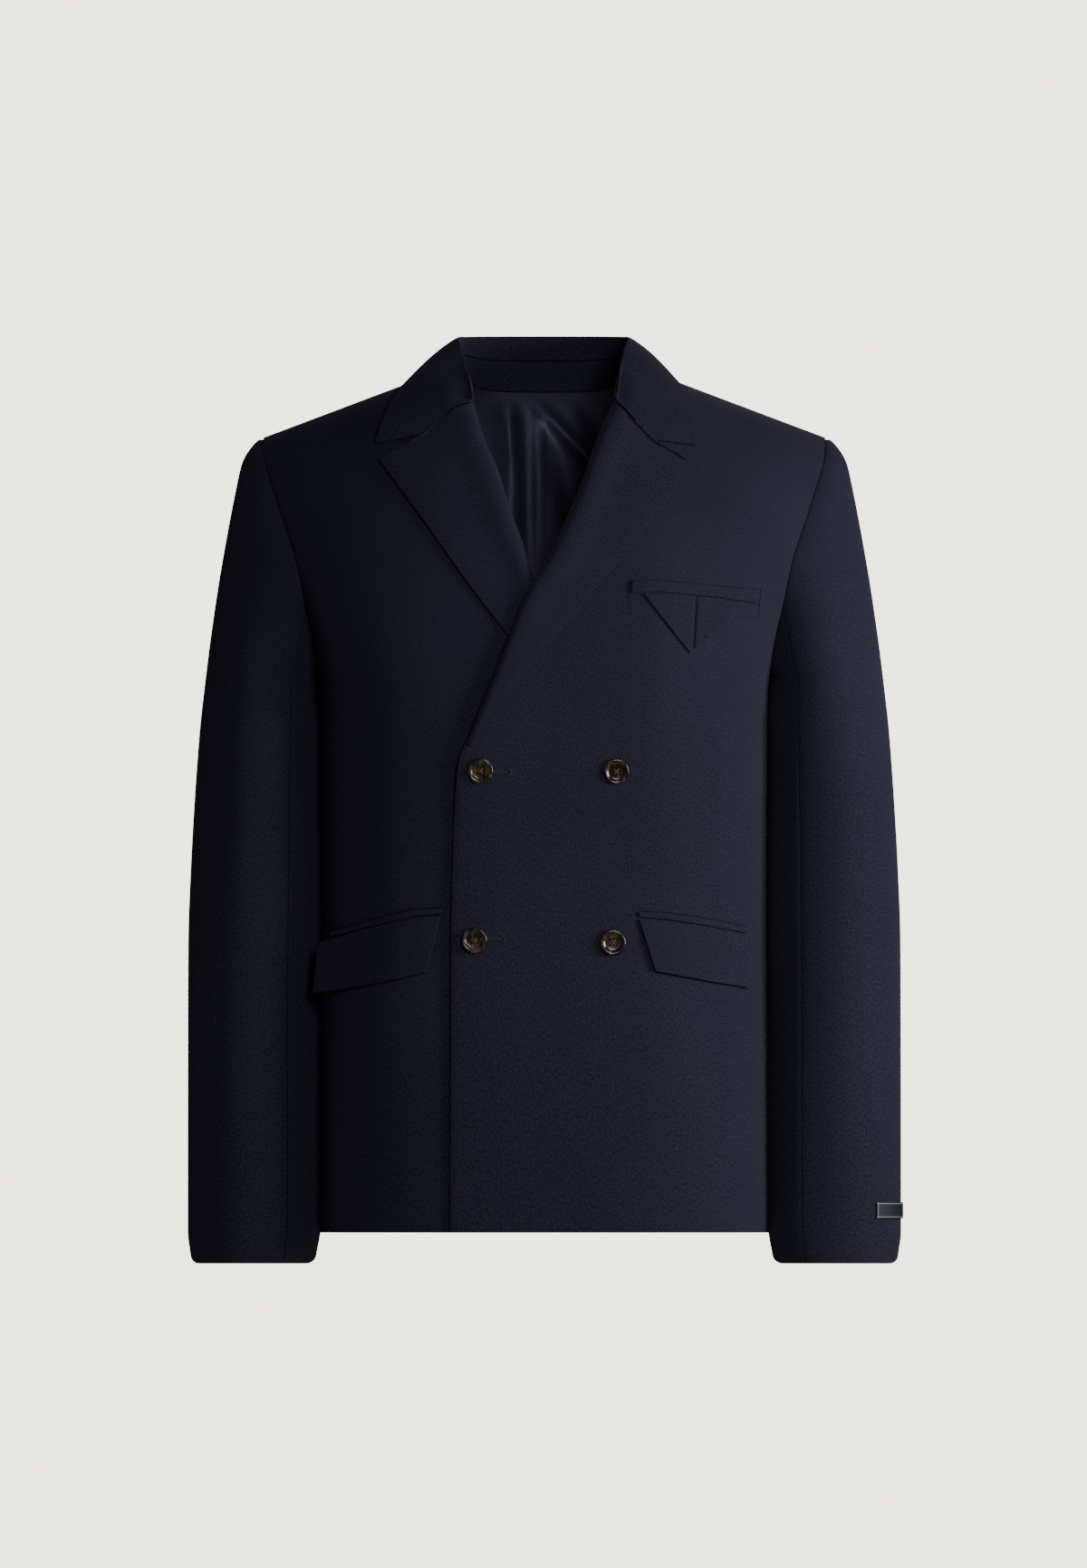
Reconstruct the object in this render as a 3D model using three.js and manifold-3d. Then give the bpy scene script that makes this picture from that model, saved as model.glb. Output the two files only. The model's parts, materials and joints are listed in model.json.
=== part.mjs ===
// Double breasted blazer in the shape it has when worn, with nobody in it.
// Millimetres, +Z up, front toward -Y, the wearer's left toward +X.
// Origin: centre of the neck opening at the height of the back neck seam.
import * as THREE from 'three';
import Module from 'manifold-3d';

const wasm = await Module();
wasm.setup();

// Cloth walls and seams
const CLOTH = 2.0;
const SLEEVE_CLOTH = 1.8;
const LAPEL_CLOTH = 2.4;
const COLLAR_CLOTH = 2.4;
const LINING_CLOTH = 1.0;
const LINING_GAP = 2.2;
const POCKET_CLOTH = 1.4;
const SEAM = 0.3;
const LAY = 0.9;

// Body form
const HEM_Z = -662;
const NECK_X = 75;
const NECK_Z = 21;
const NECK_RISE = 9;
const SHOULDER_SLOPE = 0.377;
const TIP_X = 222;
const ARCH = 200;
const SQUARE = 3;
const UNDERARM_Z = -235;
const OVERLAP_LIFT = 6.4;

// Buttons
const BUTTON_R = 10.2;
const BUTTON_DEEP = 3.6;
const HOLE_R = 1.0;
const HOLE_OUT = 2.0;

const BODY = [
  { z: 60, wide: 240, front: 116, back: 114 },
  { z: -38, wide: 233, front: 120, back: 118 },
  { z: -62, wide: 227, front: 123, back: 120 },
  { z: -100, wide: 216, front: 128, back: 121 },
  { z: -146, wide: 201, front: 131, back: 120 },
  { z: -190, wide: 185.7, front: 132, back: 117 },
  { z: -215, wide: 179.9, front: 132, back: 115 },
  { z: -235, wide: 176.3, front: 131, back: 113 },
  { z: -300, wide: 175.6, front: 129, back: 107 },
  { z: -420, wide: 175.2, front: 125, back: 99 },
  { z: -540, wide: 175.6, front: 126, back: 108 },
  { z: -700, wide: 176.0, front: 128, back: 118 },
];

// Armhole line seen from the front, then the outer edge of the sleeve
const ARMHOLE = [
  { z: -30, x: 222 },
  { z: -50, x: 221 },
  { z: -62, x: 218 },
  { z: -81, x: 212 },
  { z: -100, x: 206 },
  { z: -113, x: 201.5 },
  { z: -125, x: 197.5 },
  { z: -146, x: 192.5 },
  { z: -170, x: 187.5 },
  { z: -190, x: 183 },
  { z: -211, x: 179.5 },
  { z: -235, x: 176.3 },
];

const CAP = [
  { z: -35, outer: 224 },
  { z: -39, outer: 228.5 },
  { z: -46.5, outer: 234 },
  { z: -54, outer: 237.7 },
  { z: -61, outer: 240 },
  { z: -75, outer: 243.4 },
  { z: -89, outer: 246.3 },
  { z: -118, outer: 251.7 },
  { z: -147, outer: 256.7 },
  { z: -175, outer: 261 },
  { z: -204, outer: 265 },
  { z: -235, outer: 268.8 },
];

const SLEEVE = [
  { z: -235, outer: 268.8, inner: 176.8, mid: 0, front: 60, back: 52 },
  { z: -261, outer: 271.7, inner: 177.0, mid: -1, front: 59.5, back: 54 },
  { z: -318, outer: 276, inner: 177.0, mid: -3, front: 57, back: 55 },
  { z: -375, outer: 279.2, inner: 177.0, mid: -6, front: 54, back: 54 },
  { z: -433, outer: 281.2, inner: 177.0, mid: -9, front: 52, back: 52 },
  { z: -540, outer: 281.5, inner: 177.1, mid: -14, front: 48, back: 48 },
  { z: -640, outer: 281.6, inner: 177.3, mid: -18, front: 44, back: 44 },
  { z: -664, outer: 281.6, inner: 177.8, mid: -19, front: 43, back: 43 },
  { z: -686.4, outer: 279.2, inner: 181.0, mid: -20, front: 41, back: 41 },
];

// Inner edges of the two fronts: neck, roll line, front edge
const EDGE_LEFT = [
  { z: 21, x: 75 },
  { z: 8, x: 66 },
  { z: -5, x: 55.5 },
  { z: -41.5, x: 38.6 },
  { z: -63.6, x: 31.5 },
  { z: -90.8, x: 20.4 },
  { z: -110.8, x: 11.4 },
  { z: -129, x: 2.1 },
  { z: -157.3, x: -14.3 },
  { z: -202.3, x: -32.2 },
  { z: -221, x: -39.3 },
  { z: -238, x: -46.5 },
  { z: -255.3, x: -53.6 },
  { z: -269.6, x: -59.3 },
  { z: -282.4, x: -65 },
  { z: -294.6, x: -68.6 },
  { z: -313.6, x: -70 },
  { z: -351.8, x: -71.9 },
  { z: -441, x: -73.7 },
  { z: -662, x: -74.4 },
];

const EDGE_RIGHT = [
  { z: 21, x: -75 },
  { z: 8, x: -66.5 },
  { z: -5, x: -56 },
  { z: -35.8, x: -47.2 },
  { z: -56, x: -37.9 },
  { z: -77.9, x: -30.7 },
  { z: -96.2, x: -25 },
  { z: -114.4, x: -17.9 },
  { z: -132.7, x: -12.4 },
  { z: -175, x: 2 },
  { z: -215, x: 20 },
  { z: -255, x: 44 },
  { z: -281, x: 60 },
  { z: -300, x: 66 },
  { z: -390, x: 70 },
  { z: -662, x: 72 },
];

const ROWS_Z = [-34.4, -36, -39, -44, -51, -61, -75, -92, -113, -136, -160, -186, -212, -235,
  -268, -300, -345, -400, -460, -525, -595, -662];

const clamp = (value, low, high) => Math.min(high, Math.max(low, value));
const mix = (a, b, t) => a + (b - a) * t;

function smooth(value) {
  const t = clamp(value, 0, 1);
  return t * t * (3 - 2 * t);
}

// Reads one column of a table at a height, without overshoot between its rows.
function read(rows, z, column) {
  const count = rows.length;
  const key = rows.map((row) => -row.z);
  const val = rows.map((row) => row[column]);
  const at = clamp(-z, key[0], key[count - 1]);
  let i = 0;
  while (i < count - 2 && at > key[i + 1]) {
    i += 1;
  }
  const rise = (k) => (val[k + 1] - val[k]) / (key[k + 1] - key[k]);
  const slope = (k) => {
    if (k === 0) {
      return rise(0);
    }
    if (k === count - 1) {
      return rise(count - 2);
    }
    const a = rise(k - 1);
    const b = rise(k);
    return a * b <= 0 ? 0 : 2 * a * b / (a + b);
  };
  const h = key[i + 1] - key[i];
  const t = (at - key[i]) / h;
  const t2 = t * t;
  const t3 = t2 * t;
  return (2 * t3 - 3 * t2 + 1) * val[i] + (t3 - 2 * t2 + t) * h * slope(i)
    + (3 * t2 - 2 * t3) * val[i + 1] + (t3 - t2) * h * slope(i + 1);
}

function shoulder(x) {
  const across = Math.abs(x);
  if (across > NECK_X) {
    return NECK_Z - SHOULDER_SLOPE * (across - NECK_X);
  }
  return NECK_Z + NECK_RISE * (1 - (across / NECK_X) ** 2);
}

// Distance of the body's front or back from the plane y = 0, with the form grown by off.
function depth(x, z, side, off = 0) {
  const wide = read(BODY, z, 'wide') + off;
  const deep = read(BODY, z, side) + off;
  const across = clamp(Math.abs(x) / wide, 0, 1);
  const drop = clamp((shoulder(x) + off - z) / ARCH, 0, 1);
  return deep * (1 - across ** SQUARE) ** (1 / SQUARE) * Math.sqrt(1 - (1 - drop) ** 2);
}

// The wearer's left front lies over the right one, so it stands off near its edge.
function lift(x, z) {
  const down = smooth((-z - 60) / 70);
  const side = 1 - smooth((x - 76) / 64);
  const settle = mix(OVERLAP_LIFT, 2.9, smooth((-z - 290) / 60));
  return settle * down * side;
}

const front = (x, z, off = 0) => new THREE.Vector3(x, -depth(x, z, 'front', off), z);

// A sheet of cloth: a grid of outer points, its wall laid inward along the grid's normals.
function sheet(grid, thick, sign, fix = null) {
  const rows = grid.length;
  const cols = grid[0].length;
  const inner = [];
  for (let i = 0; i < rows; i += 1) {
    inner.push([]);
    for (let j = 0; j < cols; j += 1) {
      const across = grid[i][Math.min(j + 1, cols - 1)].clone().sub(grid[i][Math.max(j - 1, 0)]);
      const down = grid[Math.min(i + 1, rows - 1)][j].clone().sub(grid[Math.max(i - 1, 0)][j]);
      const normal = across.cross(down).multiplyScalar(sign);
      if (fix) {
        fix(i, j, normal);
      }
      normal.normalize();
      inner[i].push(grid[i][j].clone().addScaledVector(normal, -thick));
    }
  }
  const pos = [];
  const index = [];
  const id = (layer, i, j) => layer * rows * cols + i * cols + j;
  for (const layer of [grid, inner]) {
    for (const row of layer) {
      for (const p of row) {
        pos.push(p.x, p.y, p.z);
      }
    }
  }
  const quad = (a, b, c, d) => {
    if (sign > 0) {
      index.push(a, b, c, a, c, d);
    } else {
      index.push(a, c, b, a, d, c);
    }
  };
  for (let i = 0; i < rows - 1; i += 1) {
    for (let j = 0; j < cols - 1; j += 1) {
      quad(id(0, i, j), id(0, i, j + 1), id(0, i + 1, j + 1), id(0, i + 1, j));
      quad(id(1, i, j), id(1, i + 1, j), id(1, i + 1, j + 1), id(1, i, j + 1));
    }
  }
  for (let j = 0; j < cols - 1; j += 1) {
    quad(id(1, 0, j), id(1, 0, j + 1), id(0, 0, j + 1), id(0, 0, j));
    quad(id(0, rows - 1, j), id(0, rows - 1, j + 1), id(1, rows - 1, j + 1), id(1, rows - 1, j));
  }
  for (let i = 0; i < rows - 1; i += 1) {
    quad(id(1, i, 0), id(0, i, 0), id(0, i + 1, 0), id(1, i + 1, 0));
    quad(id(0, i, cols - 1), id(1, i, cols - 1), id(1, i + 1, cols - 1), id(0, i + 1, cols - 1));
  }
  const geometry = new THREE.BufferGeometry();
  geometry.setAttribute('position', new THREE.Float32BufferAttribute(pos, 3));
  geometry.setIndex(index);
  geometry.computeVertexNormals();
  return geometry;
}

const group = new THREE.Group();
group.name = 'double_breasted_blazer';

function add(name, geometry, colour, roughness = 0.85) {
  const material = new THREE.MeshStandardMaterial({ color: colour, roughness, metalness: 0 });
  const mesh = new THREE.Mesh(geometry, material);
  mesh.name = name;
  group.add(mesh);
}

const NAVY = 0x26263a;
const NAVY_DEEP = 0x1f1f30;
const SATIN = 0x191a2c;
const HORN = 0x4a3423;

// Fronts
const fall = (z) => (z - ROWS_Z[0]) / (HEM_Z - ROWS_Z[0]);
const EASE = [0, 0.16, 0.31, 0.46, 0.6, 0.72, 0.82, 0.9, 0.96, 1];

function frontGrid(edge, dir, off) {
  return ROWS_Z.map((zOut) => {
    const zIn = mix(NECK_Z, HEM_Z, fall(zOut));
    const xIn = read(edge, zIn, 'x');
    const xOut = dir * read(ARMHOLE, zOut, 'x');
    const xSide = zOut < UNDERARM_Z ? dir * read(BODY, zOut, 'wide') : xOut;
    return EASE.map((t) => {
      const p = front(mix(xIn, xSide, t), mix(zIn, zOut, t));
      const q = front(p.x, p.z, off(p.x, p.z));
      q.y = Math.min(q.y, -SEAM);
      return q;
    });
  });
}

// Along the shoulder ridge the wall hangs straight down, at the side seam straight inward.
function ridge(dir, cols) {
  return (i, j, normal) => {
    if (i === 0) {
      normal.set(dir * SHOULDER_SLOPE, 0, 1);
    } else if (cols.includes(j) && ROWS_Z[i] <= UNDERARM_Z) {
      normal.y = 0;
      normal.z = 0;
    }
  };
}

const LAST = EASE.length - 1;
add('front_left', sheet(frontGrid(EDGE_LEFT, 1, lift), CLOTH, -1, ridge(1, [LAST])), NAVY);
add('front_right', sheet(frontGrid(EDGE_RIGHT, -1, () => 0), CLOTH, 1, ridge(-1, [LAST])), NAVY);

// Back, from side seam to side seam
const HALF = [0, 0.13, 0.22, 0.28, 0.338, 0.45, 0.6, 0.74, 0.86, 0.95, 1];
const WHOLE = [...HALF.slice(1).reverse().map((t) => -t), ...HALF];

function backTop(x) {
  const across = Math.abs(x);
  return across < NECK_X ? NECK_Z * (across / NECK_X) ** 5 : shoulder(x);
}

const backGrid = ROWS_Z.map((zOut) => {
  const xArm = read(ARMHOLE, zOut, 'x');
  const xOut = zOut < UNDERARM_Z ? read(BODY, zOut, 'wide') : xArm;
  return WHOLE.map((t) => {
    const z = mix(backTop(t * TIP_X), HEM_Z, fall(zOut));
    const y = depth(t * xOut, z, 'back');
    return new THREE.Vector3(t * xOut, Math.max(y, SEAM), z);
  });
});

add('back', sheet(backGrid, CLOTH, 1, (i, j, normal) => {
  const x = WHOLE[j] * TIP_X;
  if (i === 0 && Math.abs(x) > NECK_X) {
    normal.set(Math.sign(x) * SHOULDER_SLOPE, 0, 1);
  } else if ((j === 0 || j === WHOLE.length - 1) && ROWS_Z[i] <= UNDERARM_Z) {
    normal.y = 0;
    normal.z = 0;
  }
}), NAVY);

// Lining inside the back
const LINING_ACROSS = [-0.96, -0.8, -0.6, -0.4, -0.24, -0.12, 0, 0.12, 0.24, 0.4, 0.6, 0.8, 0.96];
const LINING_DOWN = [0.008, 0.03, 0.07, 0.13, 0.2, 0.28, 0.36, 0.5, 0.65, 0.8, 0.965];
const liningGrid = LINING_DOWN.map((f) => LINING_ACROSS.map((t) => {
  const xArm = read(ARMHOLE, mix(ROWS_Z[0], HEM_Z, f), 'x') - 6;
  const top = backTop(t * TIP_X) - 4 * smooth((Math.abs(t) - 0.3) / 0.1);
  const z = mix(top, HEM_Z, f);
  return new THREE.Vector3(t * xArm, depth(t * xArm, z, 'back', -CLOTH - LINING_GAP), z);
}));
add('back_lining', sheet(liningGrid, LINING_CLOTH, 1), SATIN, 0.45);

// Sleeves: every height has an oval, cut open toward the body above the underarm
const CAP_FREE_Z = -140;

function oval(z) {
  if (z <= UNDERARM_Z) {
    const outer = read(SLEEVE, z, 'outer');
    const inner = read(SLEEVE, z, 'inner');
    return {
      mid: (outer + inner) / 2,
      half: (outer - inner) / 2,
      y: read(SLEEVE, z, 'mid'),
      front: read(SLEEVE, z, 'front'),
      back: read(SLEEVE, z, 'back'),
      cut: Math.PI,
    };
  }
  const x = read(ARMHOLE, z, 'x') + SEAM;
  const outer = read(CAP, z, 'outer');
  const reach = depth(x, z, 'front');
  const ratio = depth(x, z, 'back') / Math.max(reach, 0.01);
  let deep = reach;
  let cut = Math.PI / 2;
  if (z < CAP_FREE_Z) {
    const t = (z - CAP_FREE_Z) / (UNDERARM_Z - CAP_FREE_Z);
    const from = depth(read(ARMHOLE, CAP_FREE_Z, 'x'), CAP_FREE_Z, 'front');
    deep = Math.max(mix(from, SLEEVE[0].front, t), reach);
    cut = Math.PI - Math.asin(clamp(reach / deep, 0, 1));
  }
  const open = Math.abs(Math.cos(cut));
  const half = (outer - x) / (1 + open);
  const even = smooth((z - CAP_FREE_Z) / (UNDERARM_Z - CAP_FREE_Z));
  const back = deep * mix(ratio, SLEEVE[0].back / SLEEVE[0].front, even);
  return { mid: outer - half, half, y: 0, front: deep, back, cut };
}

function onOval(ring, angle, dir, grow = 0) {
  const deep = Math.sin(angle) > 0 ? ring.front : ring.back;
  const x = ring.mid + (ring.half + grow) * Math.cos(angle);
  return new THREE.Vector2(dir * x, ring.y - (deep + grow) * Math.sin(angle));
}

const SLEEVE_SEAM = 0.5;
const SEAM_FRONT = 2.09;
const SEAM_BACK = 2.18;
const CAP_ROWS = [-36, -37.5, -40, -44, -50, -59, -72, -90, -110, -136, -160, -186, -212, -235,
  -268, -310, -360, -420, -480, -545, -610, -660, -678, -686.4];

function topSleeve(dir) {
  const steps = 11;
  const grid = CAP_ROWS.map((z) => {
    const ring = oval(z);
    const gap = SLEEVE_SEAM / Math.min(ring.half, ring.front);
    const to = Math.min(ring.cut, SEAM_FRONT) - gap;
    const from = Math.min(ring.cut, SEAM_BACK) - gap;
    const row = [];
    for (let j = 0; j <= steps; j += 1) {
      const p = onOval(ring, mix(-from, to, j / steps), dir);
      row.push(new THREE.Vector3(p.x, p.y, z));
    }
    return row;
  });
  return sheet(grid, SLEEVE_CLOTH, dir);
}

// Height at which the armhole crosses a given angle of the sleeve
function armholeAt(angle) {
  let low = UNDERARM_Z;
  let high = CAP_FREE_Z;
  for (let k = 0; k < 40; k += 1) {
    const z = (low + high) / 2;
    if (oval(z).cut > angle) {
      low = z;
    } else {
      high = z;
    }
  }
  return (low + high) / 2;
}

function underSleeve(dir) {
  const steps = 9;
  const gap = SLEEVE_SEAM / 50;
  const down = [0, 0.3, 0.65, 1];
  const join = -268;
  const rest = CAP_ROWS.filter((z) => z < join);
  const count = down.length + rest.length;
  const grid = [];
  for (let i = 0; i < count; i += 1) {
    const row = [];
    for (let j = 0; j <= steps; j += 1) {
      const angle = mix(SEAM_FRONT + gap, 2 * Math.PI - SEAM_BACK - gap, j / steps);
      const top = armholeAt(Math.min(angle, 2 * Math.PI - angle)) - 0.6;
      const z = i < down.length ? mix(top, join, down[i]) : rest[i - down.length];
      const p = onOval(oval(z), angle, dir);
      row.push(new THREE.Vector3(p.x, p.y, z));
    }
    grid.push(row);
  }
  return sheet(grid, SLEEVE_CLOTH, dir);
}

add('sleeve_top_left', topSleeve(1), NAVY);
add('sleeve_top_right', topSleeve(-1), NAVY);
add('sleeve_under_left', underSleeve(1), NAVY_DEEP);
add('sleeve_under_right', underSleeve(-1), NAVY_DEEP);

// Lapels, laid on the fronts from the roll line to their outer edge
const LAPEL_LEFT = [
  { rollX: 55.5, rollZ: -6.5, edgeX: 118, edgeZ: -56.1 },
  { rollX: 49.5, rollZ: -17, edgeX: 111.5, edgeZ: -63.4 },
  { rollX: 38.9, rollZ: -41.5, edgeX: 93.4, edgeZ: -87.2 },
  { rollX: 28.6, rollZ: -72, edgeX: 75, edgeZ: -110.8 },
  { rollX: 18.8, rollZ: -95, edgeX: 56.9, edgeZ: -134.4 },
  { rollX: 7, rollZ: -120, edgeX: 38.6, edgeZ: -156.6 },
  { rollX: -5.9, rollZ: -143, edgeX: 20.4, edgeZ: -180.2 },
  { rollX: -15.9, rollZ: -160, edgeX: 6.4, edgeZ: -195.9 },
  { rollX: -25.8, rollZ: -186, edgeX: -9.3, edgeZ: -213.8 },
  { rollX: -39, rollZ: -221, edgeX: -27.9, edgeZ: -239.5 },
  { rollX: -49.6, rollZ: -246, edgeX: -42.2, edgeZ: -256.7 },
  { rollX: -57.5, rollZ: -265.5, edgeX: -52.2, edgeZ: -271.5 },
  { rollX: -61.8, rollZ: -276, edgeX: -57.5, edgeZ: -278.4 },
];

const LAPEL_RIGHT = [
  { rollX: -56, rollZ: -6.5, edgeX: -130.8, edgeZ: -51.4 },
  { rollX: -52.8, rollZ: -18, edgeX: -124, edgeZ: -60.6 },
  { rollX: -47.4, rollZ: -35.8, edgeX: -109, edgeZ: -81 },
  { rollX: -38.1, rollZ: -56, edgeX: -93, edgeZ: -103 },
  { rollX: -30.9, rollZ: -78, edgeX: -77, edgeZ: -125.6 },
  { rollX: -25, rollZ: -96.5, edgeX: -61.5, edgeZ: -147.3 },
  { rollX: -17.9, rollZ: -114.8, edgeX: -43.6, edgeZ: -170.9 },
  { rollX: -12.3, rollZ: -133.6, edgeX: -30.7, edgeZ: -187.3 },
  { rollX: 2, rollZ: -175, edgeX: -12, edgeZ: -211 },
  { rollX: 20, rollZ: -215, edgeX: 14, edgeZ: -235 },
  { rollX: 40, rollZ: -249, edgeX: 36, edgeZ: -258 },
  { rollX: 54, rollZ: -271, edgeX: 51, edgeZ: -275 },
];

const TOP_LEFT = [
  { x: 55.5, z: -6.5 },
  { x: 62.2, z: -11.9 },
  { x: 71.5, z: -22.5 },
  { x: 80.8, z: -31.8 },
  { x: 86.2, z: -37.4 },
  { x: 93.4, z: -41.5 },
  { x: 105, z: -48 },
  { x: 118, z: -56.1 },
];

const TOP_RIGHT = [
  { x: -56, z: -6.5 },
  { x: -71, z: -10.6 },
  { x: -80, z: -19 },
  { x: -89, z: -26.8 },
  { x: -95.4, z: -32.6 },
  { x: -107.3, z: -38.1 },
  { x: -119, z: -44.4 },
  { x: -130.8, z: -51.4 },
];

const LAPEL_ACROSS = [0, 0.12, 0.27, 0.42, 0.52, 0.65, 0.82, 1];

function lapel(rows, top, off, sign) {
  const grid = rows.map((row, i) => LAPEL_ACROSS.map((t, j) => {
    let x = mix(row.rollX, row.edgeX, t);
    let z = mix(row.rollZ, row.edgeZ, t);
    if (i === 0) {
      x = top[j].x;
      z = top[j].z;
    }
    return front(x, z, off(x, z) + LAY + LAPEL_CLOTH);
  }));
  return sheet(grid, LAPEL_CLOTH, sign);
}

add('lapel_left', lapel(LAPEL_LEFT, TOP_LEFT, lift, -1), NAVY);
add('lapel_right', lapel(LAPEL_RIGHT, TOP_RIGHT, () => 0, 1), NAVY);

// Collar: neck seam, roll line and outer edge, from the right front round the back to the left
const COLLAR = [
  { neck: [-60.5, -58, 0], roll: [-57, -65.5, -4.6], edge: [-133.7, null, -37.5], fold: 0.15 },
  { neck: [-66.5, -44.5, 9], roll: [-59, -49, 9], edge: [-130.5, null, -26], fold: 0.35 },
  { neck: [-72, -26, 17], roll: [-61.5, -31, 22], edge: [-125.5, null, -14.3], fold: 0.65 },
  { neck: [-75, -8, 21.6], roll: [-64.5, -13, 36], edge: [-118, -33, -0.4], fold: 1 },
  { neck: [-74.8, 8, 21.6], roll: [-66.5, 4, 43.5], edge: [-110, -14, 9.5], fold: 1 },
  { neck: [-71, 26, 17], roll: [-65.5, 21, 45], edge: [-101, 10, 14], fold: 1 },
  { neck: [-64, 43, 10.6], roll: [-59, 40, 45], edge: [-87, 38, 8.5], fold: 1 },
  { neck: [-42, 58.5, 2.2], roll: [-40, 56, 45], edge: [-58, 63, -1.5], fold: 1 },
  { neck: [0, 62, 0.8], roll: [0, 62, 45], edge: [0, 76, -9], fold: 1 },
  { neck: [42, 58.5, 2.2], roll: [40, 56, 45], edge: [58, 63, -1.5], fold: 1 },
  { neck: [64, 43, 10.6], roll: [58, 40, 45], edge: [85, 38, 9.5], fold: 1 },
  { neck: [71, 26, 17], roll: [64.5, 21, 45], edge: [97.5, 10, 15.2], fold: 1 },
  { neck: [74.8, 8, 21.6], roll: [65, 4, 43.5], edge: [104.5, -13, 11.5], fold: 1 },
  { neck: [75, -8, 21.6], roll: [62, -13, 36], edge: [111, -30, 2], fold: 1 },
  { neck: [72, -26, 17], roll: [58.8, -31, 22], edge: [116, null, -13], fold: 0.65 },
  { neck: [66.5, -44.5, 9], roll: [57.5, -49, 9], edge: [119.5, null, -27], fold: 0.35 },
  { neck: [60.5, -58, 0], roll: [56.4, -65.5, -4.6], edge: [121.5, null, -39.7], fold: 0.15 },
];

const COLLAR_STEPS = 32;
const COLLAR_OFF = LAY + COLLAR_CLOTH + 0.6;
const STAND_TOP = 0.56;

function through(list) {
  const points = list.map((p) => new THREE.Vector3(...p));
  return new THREE.CatmullRomCurve3(points, false, 'centripetal');
}

function station(curve, t) {
  return curve.getPoint(clamp(t, 0, 1));
}

const collarNeck = through(COLLAR.map((row) => row.neck));
const collarRoll = through(COLLAR.map((row) => row.roll));
const collarEdge = through(COLLAR.map((row) => {
  const [x, y, z] = row.edge;
  return [x, y === null ? -depth(x, z, 'front', COLLAR_OFF) : y, z];
}));

function along(column, t) {
  const at = t * (COLLAR.length - 1);
  const i = Math.min(Math.floor(at), COLLAR.length - 2);
  return mix(COLLAR[i][column], COLLAR[i + 1][column], at - i);
}

// Moves a collar point off the body where it would come too near
function clear(p, off) {
  if (p.z > shoulder(p.x) + off) {
    return p;
  }
  const side = p.y > 0 ? 'back' : 'front';
  const away = depth(p.x, p.z, side, off);
  if (Math.abs(p.y) < away) {
    p.y = p.y > 0 ? away : -away;
  }
  return p;
}

function standTop(t) {
  return station(collarNeck, t).lerp(station(collarRoll, t), STAND_TOP);
}

// Where the collar's ends run along the gorge and then free to the tips
const COLLAR_ACROSS = [0.24, 0.42, 0.6, 0.8, 1];
const GORGE_RIGHT = [
  { x: -60, z: -5.7 },
  { x: -74, z: -11.3 },
  { x: -85, z: -22 },
  { x: -95.8, z: -31.3 },
  { x: -113, z: -34.3 },
  { x: -133.7, z: -37.5 },
];
const GORGE_LEFT = [
  { x: 59, z: -8.2 },
  { x: 67, z: -16 },
  { x: 77, z: -26.8 },
  { x: 86.4, z: -36.1 },
  { x: 103, z: -38 },
  { x: 121.5, z: -39.7 },
];
const END_REACH = 0.14;

const fallGrid = [];
for (let i = 0; i <= COLLAR_STEPS; i += 1) {
  const t = i / COLLAR_STEPS;
  const roll = station(collarRoll, t);
  const edge = station(collarEdge, t);
  const out = new THREE.Vector3(edge.x - roll.x, edge.y - roll.y, 0).normalize();
  const fold = along('fold', t);
  const seam = standTop(t).lerp(roll, 1 - 0.96 * fold);
  const gorge = t < 0.5 ? GORGE_RIGHT : GORGE_LEFT;
  const near = clamp(1 - Math.min(t, 1 - t) / END_REACH, 0, 1);
  const row = [seam];
  row.push(seam.clone().lerp(roll, 0.6));
  row.push(roll.clone().addScaledVector(out, 0.8 * fold));
  row.push(roll.clone().addScaledVector(out, 5 * fold).add(new THREE.Vector3(0, 0, -1.4 * fold)));
  COLLAR_ACROSS.forEach((v, k) => {
    const p = row[3].clone().lerp(edge, v);
    const ends = mix(gorge[0].x, gorge[5].x, v);
    const drop = mix(gorge[0].z, gorge[5].z, v);
    p.x += near * (gorge[k + 1].x - ends);
    p.z += near * (gorge[k + 1].z - drop) + 10 * v * (1 - v) * fold;
    if (near > 0.4) {
      p.y = Math.min(p.y, -depth(p.x, p.z, 'front', COLLAR_OFF));
    }
    row.push(clear(p, COLLAR_OFF));
  });
  fallGrid.push(row);
}
add('collar_fall', sheet(fallGrid, COLLAR_CLOTH, -1), NAVY);

const standGrid = [];
const STAND_STEPS = 22;
for (let i = 0; i <= STAND_STEPS; i += 1) {
  const t = mix(0.2, 0.8, i / STAND_STEPS);
  const low = station(collarNeck, t);
  const high = standTop(t);
  standGrid.push([0.04, 0.5, 1].map((v) => low.clone().lerp(high, v)));
}
add('collar_stand', sheet(standGrid, COLLAR_CLOTH, -1), NAVY_DEEP);

// Pockets: strips and flaps laid on the fronts
function strip(upper, lower, steps, down, place, thick, sign) {
  const at = (line, t) => {
    const k = t * (line.length - 1);
    const i = Math.min(Math.floor(k), line.length - 2);
    return [mix(line[i].x, line[i + 1].x, k - i), mix(line[i].z, line[i + 1].z, k - i)];
  };
  const grid = [];
  for (let i = 0; i <= down; i += 1) {
    const row = [];
    for (let j = 0; j <= steps; j += 1) {
      const [ux, uz] = at(upper, j / steps);
      const [lx, lz] = at(lower, j / steps);
      row.push(place(mix(ux, lx, i / down), mix(uz, lz, i / down)));
    }
    grid.push(row);
  }
  return sheet(grid, thick, sign);
}

// Past FREE_X the lower pocket pieces go on straight, standing off the side of the body.
const FREE_X = 150;
const FREE_SLOPE = 0.92;

function proud(side, off) {
  return (x, z) => {
    const base = side > 0 ? lift(x, z) : 0;
    const over = Math.max(0, Math.abs(x) - FREE_X);
    const p = front(Math.sign(x) * Math.min(Math.abs(x), FREE_X), z, base + off);
    return new THREE.Vector3(x, p.y + FREE_SLOPE * over, z);
  };
}

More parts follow.
